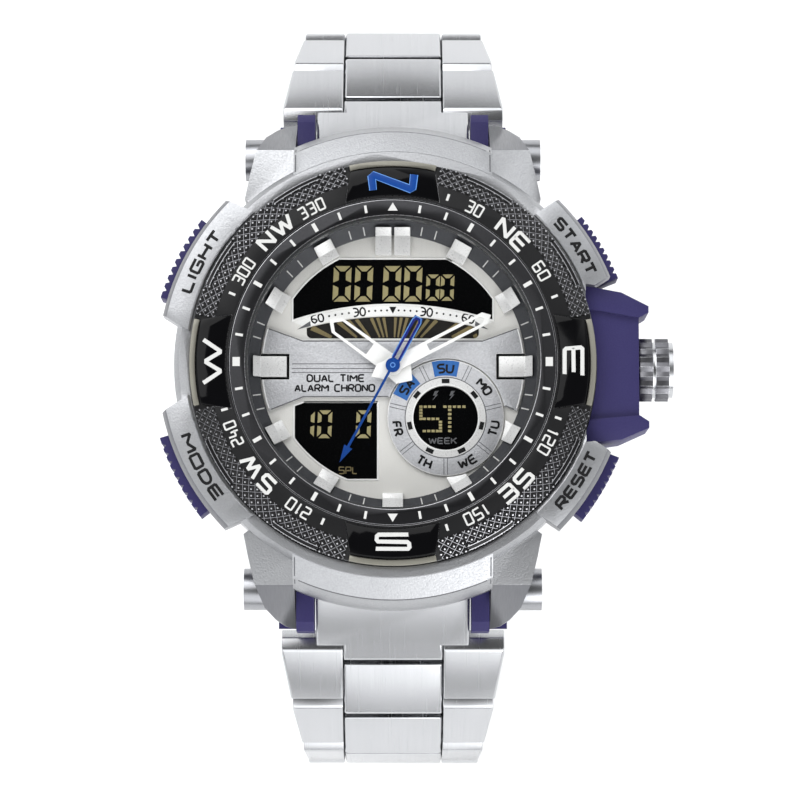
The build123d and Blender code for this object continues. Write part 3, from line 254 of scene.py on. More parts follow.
# White enamel of hands and print, also laid as painted highlight lines on the bridge, and the
# duller print on the bezel and the fixed ring
WHITE_AND_HIGHLIGHT = enamel("white_enamel_and_painted_highlight", "#F2F2F0", "#E8E8E6", 0.35)
OFF_WHITE = enamel("dulled_white_print", "#D0D0CE", "#C2C2C0", 0.4)
# Black pad print, also laid as painted shade on the floors of the markers' recesses
BLACK_INK_AND_SHADE = ink("black_print_and_painted_shade", "#1A1A1B", "#121213")
# Grey pad print, also laid as painted shadow lines along the bridge's edges
GREY_INK_AND_SHADE = ink("grey_print_and_painted_shade", "#6A6B6E", "#56575A")
# Blue enamels of the hand, the tiles, the loop and its edge
BLUE = enamel("blue_enamel", "#18448E", "#143878")
TILE = enamel("blue_tile_enamel", "#3A6CB0", "#325F9C", 0.4)
NAVY = enamel("navy_enamel", "#1C2A80", "#141E64")
PALE_BLUE = enamel("pale_blue_enamel", "#6A9BDD", "#5688CC")
# Gilt rays under the display arc, on their dark field
GILT = finish("gilt_ray_print", "#94855A", "#5A5034", 0.2, 0.42, 0.06, (0.1, 1.5, 1.0), 0.002)
DARK_FIELD = finish("dark_ray_field", "#242220", "#191715", 0.0, 0.4, 0.06, 0.2, 0.002, **MATT)
# Mineral glass, flat and clear: its gloss is faint, so the dial reads through it
CRYSTAL = finish("mineral_glass", "#101314", "#0C0F10", 0.0, 0.03, 0.01, 3.0, 0.0002, Alpha=0.04)
# Inner works: moulded frame, coated board, pressed cell, wound copper, rolled brass
RESIN = finish("moulded_module_resin", "#2A2B2D", "#202123", 0.0, 0.55, 0.08, 0.2, 0.01, **MATT)
BOARD = finish("solder_mask_board", "#1D5A32", "#154425", 0.0, 0.35, 0.08, 0.4, 0.01, **GLOSS)
CELL = finish("pressed_cell_steel", "#CFCFCC", "#B9B9B6", 1.0, 0.22, 0.05, (0.3, 3.0, 0.3), 0.002)
COPPER = finish("enamelled_copper_winding", "#B4622E", "#8E4A20", 1.0, 0.35, 0.06,
                (0.09, 2.0, 2.0), 0.01)
BRASS = finish("rolled_brass_disc", "#D2B067", "#B99850", 1.0, 0.3, 0.06, (0.1, 4.0, 1.0), 0.003)
# Studio sweep
PAPER = finish("seamless_paper", "#FDFDFD", "#FAFAFA", 0.0, 0.9, 0.03, 4.0, 0.01, **MATT)


# ---------------------------------------------------------------- making and placing pieces

def select_only(piece):
    """Leaves one object selected and active."""
    bpy.ops.object.select_all(action="DESELECT")
    piece.select_set(True)
    bpy.context.view_layer.objects.active = piece


def edit(piece):
    """Opens a piece for editing with all of it selected."""
    select_only(piece)
    bpy.ops.object.mode_set(mode="EDIT")
    bpy.ops.mesh.select_all(action="SELECT")


def close():
    """Ends editing."""
    bpy.ops.object.mode_set(mode="OBJECT")


def apply_modifier(piece, kind, **settings):
    """Adds one modifier and makes its result the piece's mesh."""
    select_only(piece)
    modifier = piece.modifiers.new(kind.lower(), kind)
    for key, value in settings.items():
        setattr(modifier, key, value)
    bpy.ops.object.modifier_apply(modifier=modifier.name)


def shift(piece, x=0.0, y=0.0, z=0.0):
    """Moves a piece's mesh, its object staying at the origin."""
    piece.data.transform(Matrix.Translation((x * MM, y * MM, z * MM)))
    return piece


def turn(piece, angle, axis="Z"):
    """Turns a piece's mesh by degrees about an axis through the origin."""
    piece.data.transform(Matrix.Rotation(radians(angle), 4, axis))
    return piece


def at_clock(piece, clock):
    """Turns a piece from twelve to another clock angle."""
    return turn(piece, -clock)


def twin(piece):
    """A copy with its own mesh."""
    copy = bpy.data.objects.new(piece.name, piece.data.copy())
    bpy.context.scene.collection.objects.link(copy)
    return copy


def joined(name, pieces):
    """Makes several meshes one piece."""
    bpy.ops.object.select_all(action="DESELECT")
    for piece in pieces:
        piece.select_set(True)
    bpy.context.view_layer.objects.active = pieces[0]
    if len(pieces) > 1:
        bpy.ops.object.join()
    pieces[0].name = name
    return pieces[0]


def around(name, piece, clocks):
    """One piece repeated at several clock angles."""
    copies = [at_clock(twin(piece), clock) for clock in clocks]
    bpy.data.objects.remove(piece)
    return joined(name, copies)


def wrapped(piece, radius):
    """Bends a piece laid along x round the dial, its upper side outwards."""
    along = [vertex.co.x for vertex in piece.data.vertices]
    length = max(along) - min(along)
    apply_modifier(piece, "SIMPLE_DEFORM", deform_method="BEND", deform_axis="Z",
                   angle=-length / (radius * MM))
    return shift(piece, y=radius)


def grid(across, along, size):
    """A flat square grid about the origin, its size in metres."""
    bpy.ops.object.select_all(action="DESELECT")
    bpy.ops.mesh.primitive_grid_add(x_subdivisions=across, y_subdivisions=along, size=size,
                                    location=(0, 0, 0))
    return bpy.context.object


def curve_piece(name, lines, closed, **settings):
    """A flat curve through points, made a mesh."""
    shape = bpy.data.curves.new(name, "CURVE")
    shape.dimensions = "2D"
    for key, value in settings.items():
        setattr(shape, key, value)
    for line in lines:
        spline = shape.splines.new("POLY")
        spline.points.add(len(line) - 1)
        for point, (x, y) in zip(spline.points, line):
            point.co = (x * MM, y * MM, 0, 1)
        spline.use_cyclic_u = closed
    piece = bpy.data.objects.new(name, shape)
    bpy.context.scene.collection.objects.link(piece)
    select_only(piece)
    bpy.ops.object.convert(target="MESH")
    return bpy.context.object


def plates(name, outlines, thickness=PRINT):
    """Flat closed outlines with a little thickness, resting on zero height."""
    piece = curve_piece(name, outlines, True, fill_mode="BOTH", extrude=thickness / 2 * MM)
    return shift(piece, z=thickness / 2)


def bar(x, y, wide, tall):
    """A rectangle about a centre."""
    return [(x - wide / 2, y - tall / 2), (x + wide / 2, y - tall / 2),
            (x + wide / 2, y + tall / 2), (x - wide / 2, y + tall / 2)]


def strokes(name, lines, width, thickness=PRINT):
    """Drawn lines of one width, as print or a raised letter."""
    piece = curve_piece(name, lines, False, bevel_depth=width / 2 * MM, bevel_resolution=1,
                        use_fill_caps=True)
    piece.data.transform(Matrix.Diagonal((1, 1, thickness / (width / 2), 1)))
    return piece


def arc_points(radius, start, end, steps, y=0.0):
    """Points along an arc between two clock angles, about a centre on the dial's upright line."""
    clocks = [radians(start + (end - start) * step / steps) for step in range(steps + 1)]
    return [(radius * sin(clock), radius * cos(clock) + y) for clock in clocks]


def wear(piece, body, *materials, smooth=35):
    """Gives a piece its finish and the body that it moves with."""
    if materials:
        piece.data.materials.clear()
    for each in materials:
        piece.data.materials.append(each)
    select_only(piece)
    bpy.ops.object.shade_smooth_by_angle(angle=radians(smooth))
    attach(piece, body)
    return piece


def lay(piece, level, material, body="case"):
    """Lays print or trim at a height, in its finish."""
    return wear(shift(piece, z=level), body, material)


def paint(piece, material, chosen):
    """Gives a finish to the faces whose centre, in millimetres, and normal pass a test."""
    if material.name not in piece.data.materials:
        piece.data.materials.append(material)
    slot = piece.data.materials.find(material.name)
    for face in piece.data.polygons:
        if chosen(face.center / MM, face.normal):
            face.material_index = slot


# ---------------------------------------------------------------- lettering

# Squared sign writer's strokes on a field one wide and one high
GLYPHS = {
    "0": [[(0, 0), (1, 0), (1, 1), (0, 1), (0, 0)]],
    "1": [[(0.5, 0), (0.5, 1), (0.2, 0.8)]],
    "2": [[(0, 1), (1, 1), (1, 0.52), (0, 0.48), (0, 0), (1, 0)]],
    "3": [[(0, 1), (1, 1), (1, 0), (0, 0)], [(0.25, 0.5), (1, 0.5)]],
    "4": [[(0.15, 1), (0, 0.35), (1, 0.35)], [(0.8, 0.7), (0.8, 0)]],
    "5": [[(1, 1), (0, 1), (0, 0.52), (1, 0.52), (1, 0), (0, 0)]],
    "6": [[(1, 1), (0, 1), (0, 0), (1, 0), (1, 0.52), (0, 0.52)]],
    "A": [[(0, 0), (0.5, 1), (1, 0)], [(0.2, 0.32), (0.8, 0.32)]],
    "C": [[(1, 1), (0, 1), (0, 0), (1, 0)]],
    "D": [[(0, 0), (0, 1), (0.7, 1), (1, 0.75), (1, 0.25), (0.7, 0), (0, 0)]],
    "E": [[(1, 1), (0, 1), (0, 0), (1, 0)], [(0, 0.5), (0.9, 0.5)]],
    "F": [[(1, 1), (0, 1), (0, 0)], [(0, 0.5), (0.85, 0.5)]],
    "G": [[(1, 1), (0, 1), (0, 0), (1, 0), (1, 0.5), (0.5, 0.5)]],
    "H": [[(0, 0), (0, 1)], [(1, 0), (1, 1)], [(0, 0.5), (1, 0.5)]],
    "I": [[(0.5, 0), (0.5, 1)]],
    "K": [[(0, 0), (0, 1)], [(1, 1), (0, 0.4)], [(0.35, 0.6), (1, 0)]],
    "L": [[(0, 1), (0, 0), (1, 0)]],
    "M": [[(0, 0), (0, 1), (0.5, 0.35), (1, 1), (1, 0)]],
    "N": [[(0, 0), (0, 1), (1, 0), (1, 1)]],
    "O": [[(0, 0), (1, 0), (1, 1), (0, 1), (0, 0)]],
    "P": [[(0, 0), (0, 1), (1, 1), (1, 0.45), (0, 0.45)]],
    "R": [[(0, 0), (0, 1), (1, 1), (1, 0.45), (0, 0.45)], [(0.45, 0.45), (1, 0)]],
    "S": [[(1, 1), (0, 1), (0, 0.52), (1, 0.48), (1, 0), (0, 0)]],
    "T": [[(0, 1), (1, 1)], [(0.5, 1), (0.5, 0)]],
    "U": [[(0, 1), (0, 0), (1, 0), (1, 1)]],
    "W": [[(0, 1), (0.25, 0), (0.5, 0.85), (0.75, 0), (1, 1)]],
}
# Letters that aren't as wide as the others, and a space
SPANS = {"I": 0.15, "1": 0.5, "L": 0.85, "M": 1.25, "W": 1.45, " ": 0.6}


def eased(line, cut):
    """A line with its corners cut, so its stroke keeps its width."""
    if line[0] == line[-1]:
        ring = line[:-1]
        middle = ((ring[0][0] + ring[1][0]) / 2, (ring[0][1] + ring[1][1]) / 2)
        line = [middle] + ring[1:] + [ring[0], middle]
    smooth = [line[0]]
    for before, corner, after in zip(line, line[1:], line[2:]):
        for end in (before, after):
            x, y = end[0] - corner[0], end[1] - corner[1]
            share = min(0.45, cut / sqrt(x ** 2 + y ** 2))
            smooth.append((corner[0] + x * share, corner[1] + y * share))
    return smooth + [line[-1]]


def word(name, text, height, width, stroke, thickness=PRINT, gap=0.35, rounding=0.0):
    """Letters centred on the origin, fitted to a height and a width."""
    spans = [SPANS.get(letter, 1.0) for letter in text]
    tall, broad = height - stroke, width - stroke
    unit = broad / (sum(spans) + gap * (len(text) - 1))
    lines, x = [], -broad / 2
    for letter, span in zip(text, spans):
        for line in GLYPHS.get(letter, []):
            fitted = [(x + px * span * unit, (py - 0.5) * tall) for px, py in line]
            if rounding:
                fitted = eased(fitted, rounding)
            lines.append(eased(fitted, rounding / 2 or stroke * 0.4))
        x += (span + gap) * unit
    return strokes(name, lines, stroke, thickness)


def ring_word(text, clock, radius, level, height, width, stroke, inward=False, tilt=0.0,
              name="word", **settings):
    """A word bent round the dial, its top outwards or towards the centre."""
    piece = word(name, text, height, width, stroke, **settings)
    if inward:
        turn(piece, 180)
    if tilt:
        turn(piece, tilt, "X")
    wrapped(piece, radius)
    return at_clock(shift(piece, z=level), clock)


# ---------------------------------------------------------------- CAD parts with eased edges

# Points nearer than this are merged, faces flatter than this join, and sharper edges are bevelled
MERGE_GAP = 0.002
FLAT_ANGLE = radians(1.5)
SHARP_ANGLE = radians(30)
# The links' shoulders towards their outer face, and their other edges
SHOULDER = 0.3
LINK_EDGE = 0.1


def loose_copy(node, materials):
    """A merged copy of a CAD part, ready to be shaped."""
    piece = bpy.data.objects.new(node + "_finished", NODES[node].data.copy())
    bpy.context.scene.collection.objects.link(piece)
    edit(piece)
    bpy.ops.mesh.customdata_custom_splitnormals_clear()
    bpy.ops.mesh.remove_doubles(threshold=MERGE_GAP * MM)
    bpy.ops.mesh.dissolve_limited(angle_limit=FLAT_ANGLE)
    close()
    piece.data.materials.clear()
    for each in materials:
        piece.data.materials.append(each)
    return piece


def replaced(piece, node):
    """Puts a finished piece in a CAD part's place."""
    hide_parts(node)
    return wear(piece, NODES[node]["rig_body"])


def eased_part(node, edge, *materials):
    """A copy of a CAD part with bevelled edges, the last material on its bevels."""
    piece = loose_copy(node, materials)
    apply_modifier(piece, "BEVEL", width=edge * MM, segments=2, limit_method="ANGLE",
                   angle_limit=SHARP_ANGLE, use_clamp_overlap=True, material=len(materials) - 1)
    return replaced(piece, node)


def crowned_part(node, material):
    """A copy of a link with rounded shoulders to its outer face, its other edges just eased."""
    piece = loose_copy(node, [material])
    low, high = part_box(node)
    outward = Vector((0, (low[1] + high[1]) / 2, (low[2] + high[2]) / 2 - WRIST_LEVEL * MM))
    outward.normalize()
    sides = {}
    for face in piece.data.polygons:
        for key in face.edge_keys:
            sides.setdefault(key, []).append(face.normal.copy())
    weights = piece.data.attributes.new("bevel_weight_edge", "FLOAT", "EDGE")
    for line in piece.data.edges:
        normals = sides[line.key]
        if len(normals) == 2 and normals[0].angle(normals[1]) > SHARP_ANGLE:
            outer = max(normal.dot(outward) for normal in normals) > 0.8
            weights.data[line.index].value = 1.0 if outer else LINK_EDGE / SHOULDER
    apply_modifier(piece, "BEVEL", width=SHOULDER * MM, segments=4, limit_method="WEIGHT",
                   use_clamp_overlap=False, material=0)
    return replaced(piece, node)


PLAIN = {
    "case_back": BRUSHED, "case_back_gasket": RUBBER, "lug_bars": BRUSHED, "crystal": CRYSTAL,
    "crystal_gasket": SEAL, "chapter_ring": FLANGE, "dial_plate": DIAL,
    "display_upper": DISPLAY, "display_lower": DISPLAY, "module_frame": RESIN,
    "circuit_board": BOARD, "battery": CELL, "motor_coil": COPPER, "sounder": BRASS,
    "spring_light": WIRE, "spring_mode": WIRE, "spring_start": WIRE, "spring_reset": WIRE,
    "crown_stem": BRUSHED, "setting_lever": BRUSHED, "spring_bar": BRUSHED, "second_hand": BLUE,
}
for node, material in PLAIN.items():
    for slot in NODES[node].material_slots:
        slot.link = "OBJECT"
        slot.material = material

# Each part's bevel and finishes; the last finish is also on the bevels
EASED = {
    "case_shell": (0.2, BLASTED, SHADED_FACET), "mid_case": (0.2, INDIGO), "crown_guard": (0.3, INDIGO),
    "crown": (0.1, BRUSHED, POLISHED), "lug_screws": (0.3, SCREW), "hour_markers": (0.08, SATIN),
    "hour_hand": (0.05, WHITE_AND_HIGHLIGHT), "minute_hand": (0.05, WHITE_AND_HIGHLIGHT),
    "bezel_ring": (0.1, BLACK_PLATE, CREST), "bezel_inserts": (0.08, LACQUER),
    "minute_ring": (0.07, SMOKED, CREST), "dial_bridge": (0.14, SAND, SATIN),
    "weekday_ring": (0.12, SAND, SATIN),
}
finished = {node: eased_part(node, *how) for node, how in EASED.items()}
LINKS = [f"link_{side}_{count}" for side, total in ((12, 8), (6, 7))
         for count in range(1, total + 1)]
for node in ("end_link_12", "end_link_6", *LINKS):
    crowned_part(node, BRUSHED)
for node in ("button_light", "button_mode", "button_start", "button_reset"):
    eased_part(node, 0.1, INDIGO)
for node in ("clasp_cover", "clasp_middle_blade", "clasp_inner_blade"):
    eased_part(node, 0.12, BRUSHED, POLISHED)


def on_lug_slope(at, normal):
    """The faces of the shell's lugs and sides that fall outwards."""
    on_arch = abs(at.x) < ARCH_HALF_WIDTH and abs(at.y) > ARCH_START
    falls = normal.xy.dot(at.xy.normalized()) > 0.3 and 0.1 < normal.z < 0.95
    return falls and not on_arch and at.xy.length > LUG_RADIUS


def in_bore(at, normal):
    """The mid case's inner wall, which shows through the crystal."""
    return at.xy.length < BORE_RADIUS and normal.xy.dot(at.xy) < 0


def in_flute(at, normal):
    """The sides of the crown's flutes."""
    in_groove = abs(at.x - CROWN_GROOVE) < 0.2
    on_side = abs(normal.x) < 0.5 and at.x < CROWN_END
    reach = sqrt(at.y ** 2 + (at.z - CROWN_HEIGHT) ** 2)
    return FLUTE_FOOT < reach < FLUTE_CREST and on_side and not in_groove


# Painted shade: the lugs' outward slopes take the darker facet steel
paint(finished["case_shell"], SHADED_FACET, on_lug_slope)
paint(finished["mid_case"], FLANGE, in_bore)
# Painted shade: darker steel on the sides of the crown's flutes
paint(finished["crown"], FLUTE_SHADE, in_flute)
paint(finished["bezel_inserts"], BAR, lambda at, normal: at.xy.length > BAR_RADIUS)
# The inserts' faces lie a hair low, so that the enamel of their letters ends flush
for vertex in finished["bezel_inserts"].data.vertices:
    if vertex.co.z > (INSERT_TOP - 0.04) * MM:
        vertex.co.z -= LETTER_SINK * MM


# ---------------------------------------------------------------- bezel

KNURL_WIDTH, KNURL_CELL, KNURL_HEIGHT = 23.2, 0.74, 0.24
KNURL_LINE, KNURL_FLANK = 0.028, 0.255
SLOT_RADIUS, SLOT_LENGTH, SLOT_WIDTH, SLOT_THICKNESS, SLOT_LIFT = 22.12, 5.5, 0.4, 0.06, 0.27
BORDER_RADII, BORDER_WIDTH, BORDER_LIFT = (21.92, 22.34), 0.07, 0.3
SLOT_CLOCKS = [side + step for side in (0, 180) for step in (29.2, 60, 120, 150.8)]


def knurl_band():
    """Four arcs of pips left by crossed cuts on the bezel's slope, their crests rubbed bright."""
    across = SLOPE_RUN / cos(SLOPE)
    cells = int((KNURL_WIDTH + across) * 1.5 / KNURL_CELL)
    piece = grid(cells, cells, cells * KNURL_CELL * MM)
    for each in (CREST, BLACK_PLATE, WORN):
        piece.data.materials.append(each)
    for face in piece.data.polygons:
        face.material_index = 2
    edit(piece)
    for slot, inset, depth in ((1, KNURL_LINE, 0), (0, KNURL_FLANK, KNURL_HEIGHT)):
        bpy.ops.mesh.inset(thickness=inset * MM, depth=depth * MM, use_individual=True)
        piece.active_material_index = slot
        bpy.ops.object.material_slot_assign()
    bpy.ops.mesh.select_all(action="SELECT")
    bpy.ops.transform.rotate(value=pi / 4, orient_axis="Z", center_override=(0, 0, 0))
    for normal, reach in (((1, 0, 0), KNURL_WIDTH), ((-1, 0, 0), KNURL_WIDTH),
                          ((0, 1, 0), across), ((0, -1, 0), across)):
        bpy.ops.mesh.select_all(action="SELECT")
        point = [part * reach / 2 * MM for part in normal]
        bpy.ops.mesh.bisect(plane_co=point, plane_no=normal, clear_outer=True)
    close()
    turn(piece, -degrees(SLOPE), "X")
    shift(wrapped(piece, SLOPE_RADIUS), z=SLOPE_LEVEL)
    return around("bezel_knurl", piece, (45, 135, 225, 315))


def slope_strip(name, radius, width, lift):
    """A thin strip at both ends of each knurled arc, laid along the bezel's slope."""
    piece = grid(24, 1, 1.0)
    piece.data.transform(Matrix.Diagonal((SLOT_LENGTH * MM, width * MM, 1, 1)))
    apply_modifier(piece, "SOLIDIFY", thickness=SLOT_THICKNESS * MM)
    turn(piece, -degrees(SLOPE), "X")
    fall = (radius - SLOPE_RADIUS) * SLOPE_FALL / SLOPE_RUN
    shift(wrapped(piece, radius), z=SLOPE_LEVEL - fall + lift)
    return around(name, piece, SLOT_CLOCKS)


wear(knurl_band(), "bezel", smooth=20)
# Two smooth slots along the outer edge of each knurled arc, with bright borders
slots = slope_strip("bezel_slots", SLOT_RADIUS, SLOT_WIDTH, SLOT_LIFT)
wear(slots, "bezel", LACQUER)
borders = [slope_strip("border", radius, BORDER_WIDTH, BORDER_LIFT) for radius in BORDER_RADII]
wear(joined("bezel_slot_borders", borders), "bezel", CREST)

TICK_CLOCKS = (18.5, 68, 109, 162, 203.5, 254, 293)
tick = plates("tick", [bar(0, NUMBER_RADIUS, 0.28, 0.75)])
ticks = around("bezel_ticks", tick, TICK_CLOCKS)
lay(ticks, BEZEL_TOP, OFF_WHITE, "bezel")

# Text, clock angle and width of each number and letter; the cardinal letters have a height too
NUMBERS = [("30", 28, 2.0), ("60", 58.5, 2.1), ("120", 117.5, 2.9), ("150", 151.5, 2.9),
           ("210", 212.5, 2.9), ("240", 245.5, 2.9), ("300", 301.2, 3.1), ("330", 332.2, 3.1)]
CORNERS = [("NE", 43.2, 4.2), ("SE", 135.5, 4.4), ("SW", 230, 4.8), ("NW", 318, 4.7)]
CARDINALS = [("E", 90, 2.4, 3.4), ("S", 180, 2.0, 4.0), ("W", 270, 2.5, 5.0)]
numbers = [ring_word(text, clock, NUMBER_RADIUS, BEZEL_TOP, height=1.42, width=width,
                     stroke=0.2, gap=0.5) for text, clock, width in NUMBERS]
wear(joined("bezel_degrees", numbers), "bezel", OFF_WHITE)
corners = [ring_word(text, clock, CORNER_RADIUS, BEZEL_TOP, height=1.95, width=width,
                     stroke=0.38, gap=0.45) for text, clock, width in CORNERS]
wear(joined("bezel_corner_letters", corners), "bezel", OFF_WHITE)
cardinals = [ring_word(text, clock, CARDINAL_RADIUS, LETTER_LEVEL, height=height, width=width,
                       stroke=0.44, thickness=0.05) for text, clock, height, width in CARDINALS]
wear(joined("bezel_white_letters", cardinals), "bezel", OFF_WHITE)
# North is a blue stroke on a wider pale one
for name, level, height, width, stroke, material in (
        ("bezel_north_edge", LETTER_LEVEL, 2.6, 5.4, 0.86, PALE_BLUE),
        ("bezel_north", INSERT_TOP - LETTER_SINK / 2, 2.42, 5.22, 0.7, BLUE)):
    north = ring_word("N", 0, NORTH_RADIUS, level, height, width, stroke, name=name)
    wear(north, "bezel", material)


# ---------------------------------------------------------------- fixed ring and flange marks

ring_marks = [
    around("tens", plates("ten", [bar(0, RING_MARK_RADIUS, 0.28, 0.85)]),
           [clock for clock in range(10, 360, 10) if clock % 30]),
    around("thirties", plates("thirty", [bar(0, RING_MARK_RADIUS, 0.42, 1.0)]),
           [clock for clock in range(30, 360, 30) if clock % 90]),
    around("squares", plates("square", [bar(0, 17.2, 1.0, 0.8)]), (90, 270)),
    around("triangles", plates("triangle", [[(-0.55, 16.75), (0.55, 16.75), (0, 17.65)]]),
           (0, 180))]
lay(joined("ring_marks", ring_marks), MINUTE_RING_TOP, OFF_WHITE)

mark = turn(plates("mark", [bar(0, 0.85, 0.13, 1.15)], THIN), FLANGE_SLOPE, "X")
shift(mark, y=FLANGE_FOOT_RADIUS, z=FLANGE_FOOT_HEIGHT)
flange_clocks = [hour * 30 + step for hour in range(12) for step in (12, 18)]
wear(around("flange_marks", mark, flange_clocks), "case", OFF_WHITE)


# ---------------------------------------------------------------- digits of the displays

# How far a digit leans for each unit of its height, and the gap between its bars
LEAN = 0.044
SLIT = 0.15
ZERO, ONE = "abcdef", "bc"
# Left edge, foot, width, height, lit bars and stroke of each digit
UPPER_DIGITS = [(left, 7.4, 1.98, 4.0, ZERO, 0.6) for left in (-6.75, -4.33, -1.18, 1.17)]
UPPER_DIGITS += [(left, 7.5, 1.5, 2.95, ZERO, 0.42) for left in (3.65, 5.27)]
LOWER_DIGITS = [(-10.0, -7.9, 1.2, 3.1, ONE, 0.42), (-8.45, -7.9, 1.6, 3.1, ZERO, 0.42),
                (-4.15, -7.9, 1.65, 3.1, ZERO, 0.42)]


def segments(x, y, wide, tall, lit, thick):
    """The lit bars of one leaning seven bar digit, mitred where they meet."""
    centre, middle, high = x + wide / 2, y + tall / 2, y + tall

    def across(outline):
        return [(2 * centre - px, py) for px, py in outline]

    def down(outline):
        return [(px, 2 * middle - py) for px, py in outline]

    top = [(x + SLIT, high), (x + wide - SLIT, high), (x + wide - thick - SLIT, high - thick),
           (x + thick + SLIT, high - thick)]
    side = [(x, high - SLIT), (x + thick, high - thick - SLIT), (x + thick, middle + thick * 0.7),
            (x, middle + SLIT)]
    bars = {"a": top, "b": across(side), "c": across(down(side)), "d": down(top),
            "e": down(side), "f": side}
    return [[(px + (py - y) * LEAN, py) for px, py in bars[letter]] for letter in lit]


for name, digits in (("upper_digits", UPPER_DIGITS), ("lower_digits", LOWER_DIGITS)):
    lay(plates(name, [outline for digit in digits for outline in segments(*digit)]),
        DISPLAY_TOP, SEGMENT)
lower_word = word("lower_word", "SPL", height=0.85, width=2.1, stroke=0.13)
lay(shift(lower_word, -4.98, -11.5), DISPLAY_TOP, GILT)


# ---------------------------------------------------------------- windows, scale and rays

def arc_of(half, crest, corner):
    """Radius, centre height and half angle of a shallow arc through its crest and corners."""
    rise = crest - corner
    radius = (half ** 2 + rise ** 2) / (2 * rise)
    return radius, crest - radius, degrees(asin(half / radius))


WINDOW_RADIUS = 13.57
UPPER_HALF = 11.2
UPPER_RADIUS, UPPER_CENTRE, UPPER_ANGLE = arc_of(UPPER_HALF, 7.0, 5.2)
FAN_RADIUS, FAN_CENTRE, FAN_ANGLE = arc_of(9.6, 5.7, 4.4)

# Thin raised frames round the windows
UPPER_CORNER, LOWER_CORNER = (6.0, 12.2), (-5.04, -12.6)
corner_clock = degrees(atan2(*UPPER_CORNER))
side_clock = degrees(asin(UPPER_HALF / WINDOW_RADIUS))
upper_outline = (arc_points(WINDOW_RADIUS, corner_clock, side_clock, 10)
                 + arc_points(UPPER_RADIUS, UPPER_ANGLE, -UPPER_ANGLE, 24, UPPER_CENTRE)
                 + arc_points(WINDOW_RADIUS, -side_clock, -corner_clock, 10))
lower_clock = degrees(atan2(*LOWER_CORNER)) + 360
lower_outline = ([(-9.9, -3.9), (-1.65, -3.9), (-1.65, -12.6)]
                 + arc_points(WINDOW_RADIUS, lower_clock, 234.15, 8) + [(-11.0, -4.3)])
frames = [strokes("frame", [line + line[:2]], 0.22, 0.1) for line in (upper_outline, lower_outline)]
lay(joined("window_frames", frames), DIAL_TOP, WHITE_AND_HIGHLIGHT)

# White band with its scale, under the upper window
band = (arc_points(UPPER_RADIUS - 0.15, -UPPER_ANGLE, UPPER_ANGLE, 24, UPPER_CENTRE)
        + arc_points(FAN_RADIUS + 0.1, FAN_ANGLE + 0.3, -FAN_ANGLE - 0.3, 24, FAN_CENTRE))
lay(plates("scale_band", [band], THIN), DIAL_TOP, WHITE_AND_HIGHLIGHT)
SCALE_RADIUS, SCALE_CENTRE = 39.65, -33.3
turns = [side * asin(x / SCALE_RADIUS) for x in (0.65, 1.3, 1.96, 2.66, 4.9, 5.65, 6.4, 7.1)
         for side in (-1, 1)]
dots = [[(SCALE_RADIUS * sin(angle) + x, SCALE_RADIUS * cos(angle) + SCALE_CENTRE + y)
         for x, y in arc_points(0.12, 0, 315, 7)] for angle in turns]
scale = [plates("pointer", [[(-0.4, 6.75), (0.4, 6.75), (0, 5.97)], *dots], THIN)]
for text, x in (("30", 3.74), ("60", 8.4)):
    for side in (-1, 1):
        clock = side * degrees(asin(x / SCALE_RADIUS))
        number = ring_word(text, clock, SCALE_RADIUS, level=0, height=1.07, width=1.5,
                           stroke=0.18, thickness=THIN, rounding=0.22)
        scale.append(shift(number, y=SCALE_CENTRE))
lay(joined("scale_marks", scale), DIAL_TOP + THIN, BLACK_INK_AND_SHADE)
tips = [[(side * 9.2, 5.15), (side * 9.15, 4.6), (side * 10.65, 4.2)] for side in (-1, 1)]
lay(plates("scale_ends", tips, THIN), DIAL_TOP + THIN, GREY_INK_AND_SHADE)

# Dark field with gilt rays in threes that point at the hands, cut off at its foot, sides and top
FIELD_LEVEL = DIAL_TOP - 0.2
RAY_TURN, RAY_STEP, RAY_SPREAD = 9.7, 26.7, 6.5
RAY_FOOT, RAY_SIDE, RAY_TOP_RADIUS, RAY_LEAST = 3.35, 9.45, FAN_RADIUS - 0.1, 0.2
FOOT_HALF, TIP_HALF = 0.024, 0.03
field = (arc_points(FAN_RADIUS - 0.03, -FAN_ANGLE, FAN_ANGLE, 24, FAN_CENTRE)
         + [(9.57, 3.23), (-9.57, 3.23)])
lay(plates("ray_field", [field], THIN), FIELD_LEVEL, DARK_FIELD)
rays = []
for group in range(-3, 3):
    for strand in (-RAY_SPREAD, 0, RAY_SPREAD):
        angle = radians(RAY_TURN + group * RAY_STEP + strand)
        foot = RAY_FOOT / cos(angle)
        drop = -FAN_CENTRE * cos(angle)
        tip = -drop + sqrt(drop ** 2 + RAY_TOP_RADIUS ** 2 - FAN_CENTRE ** 2)
        tip = min(tip, RAY_SIDE / abs(sin(angle)))
        if tip > foot + RAY_LEAST:
            outline = ((foot, -FOOT_HALF), (tip, -TIP_HALF), (tip, TIP_HALF), (foot, FOOT_HALF))
            rays.append([(reach * sin(angle + aside), reach * cos(angle + aside))
                         for reach, aside in outline])
lay(plates("gilt_rays", rays), FIELD_LEVEL + 0.01, GILT)

# The fan window's lower corners are rounded off, and a light line runs below it
rounded = [(x - 9.0, y + 3.8) for x, y in arc_points(0.6, 180, 270, 6)] + [(-9.6, 3.2)]
fan_corners = [[(-side * x, y) for x, y in rounded] for side in (-1, 1)]
lay(plates("fan_corners", fan_corners, THIN), DIAL_TOP, DIAL)
lay(plates("fan_sill", [bar(0, 3.07, 20.2, 0.16)], 0.04), DIAL_TOP, WHITE_AND_HIGHLIGHT)


# ---------------------------------------------------------------- bridge

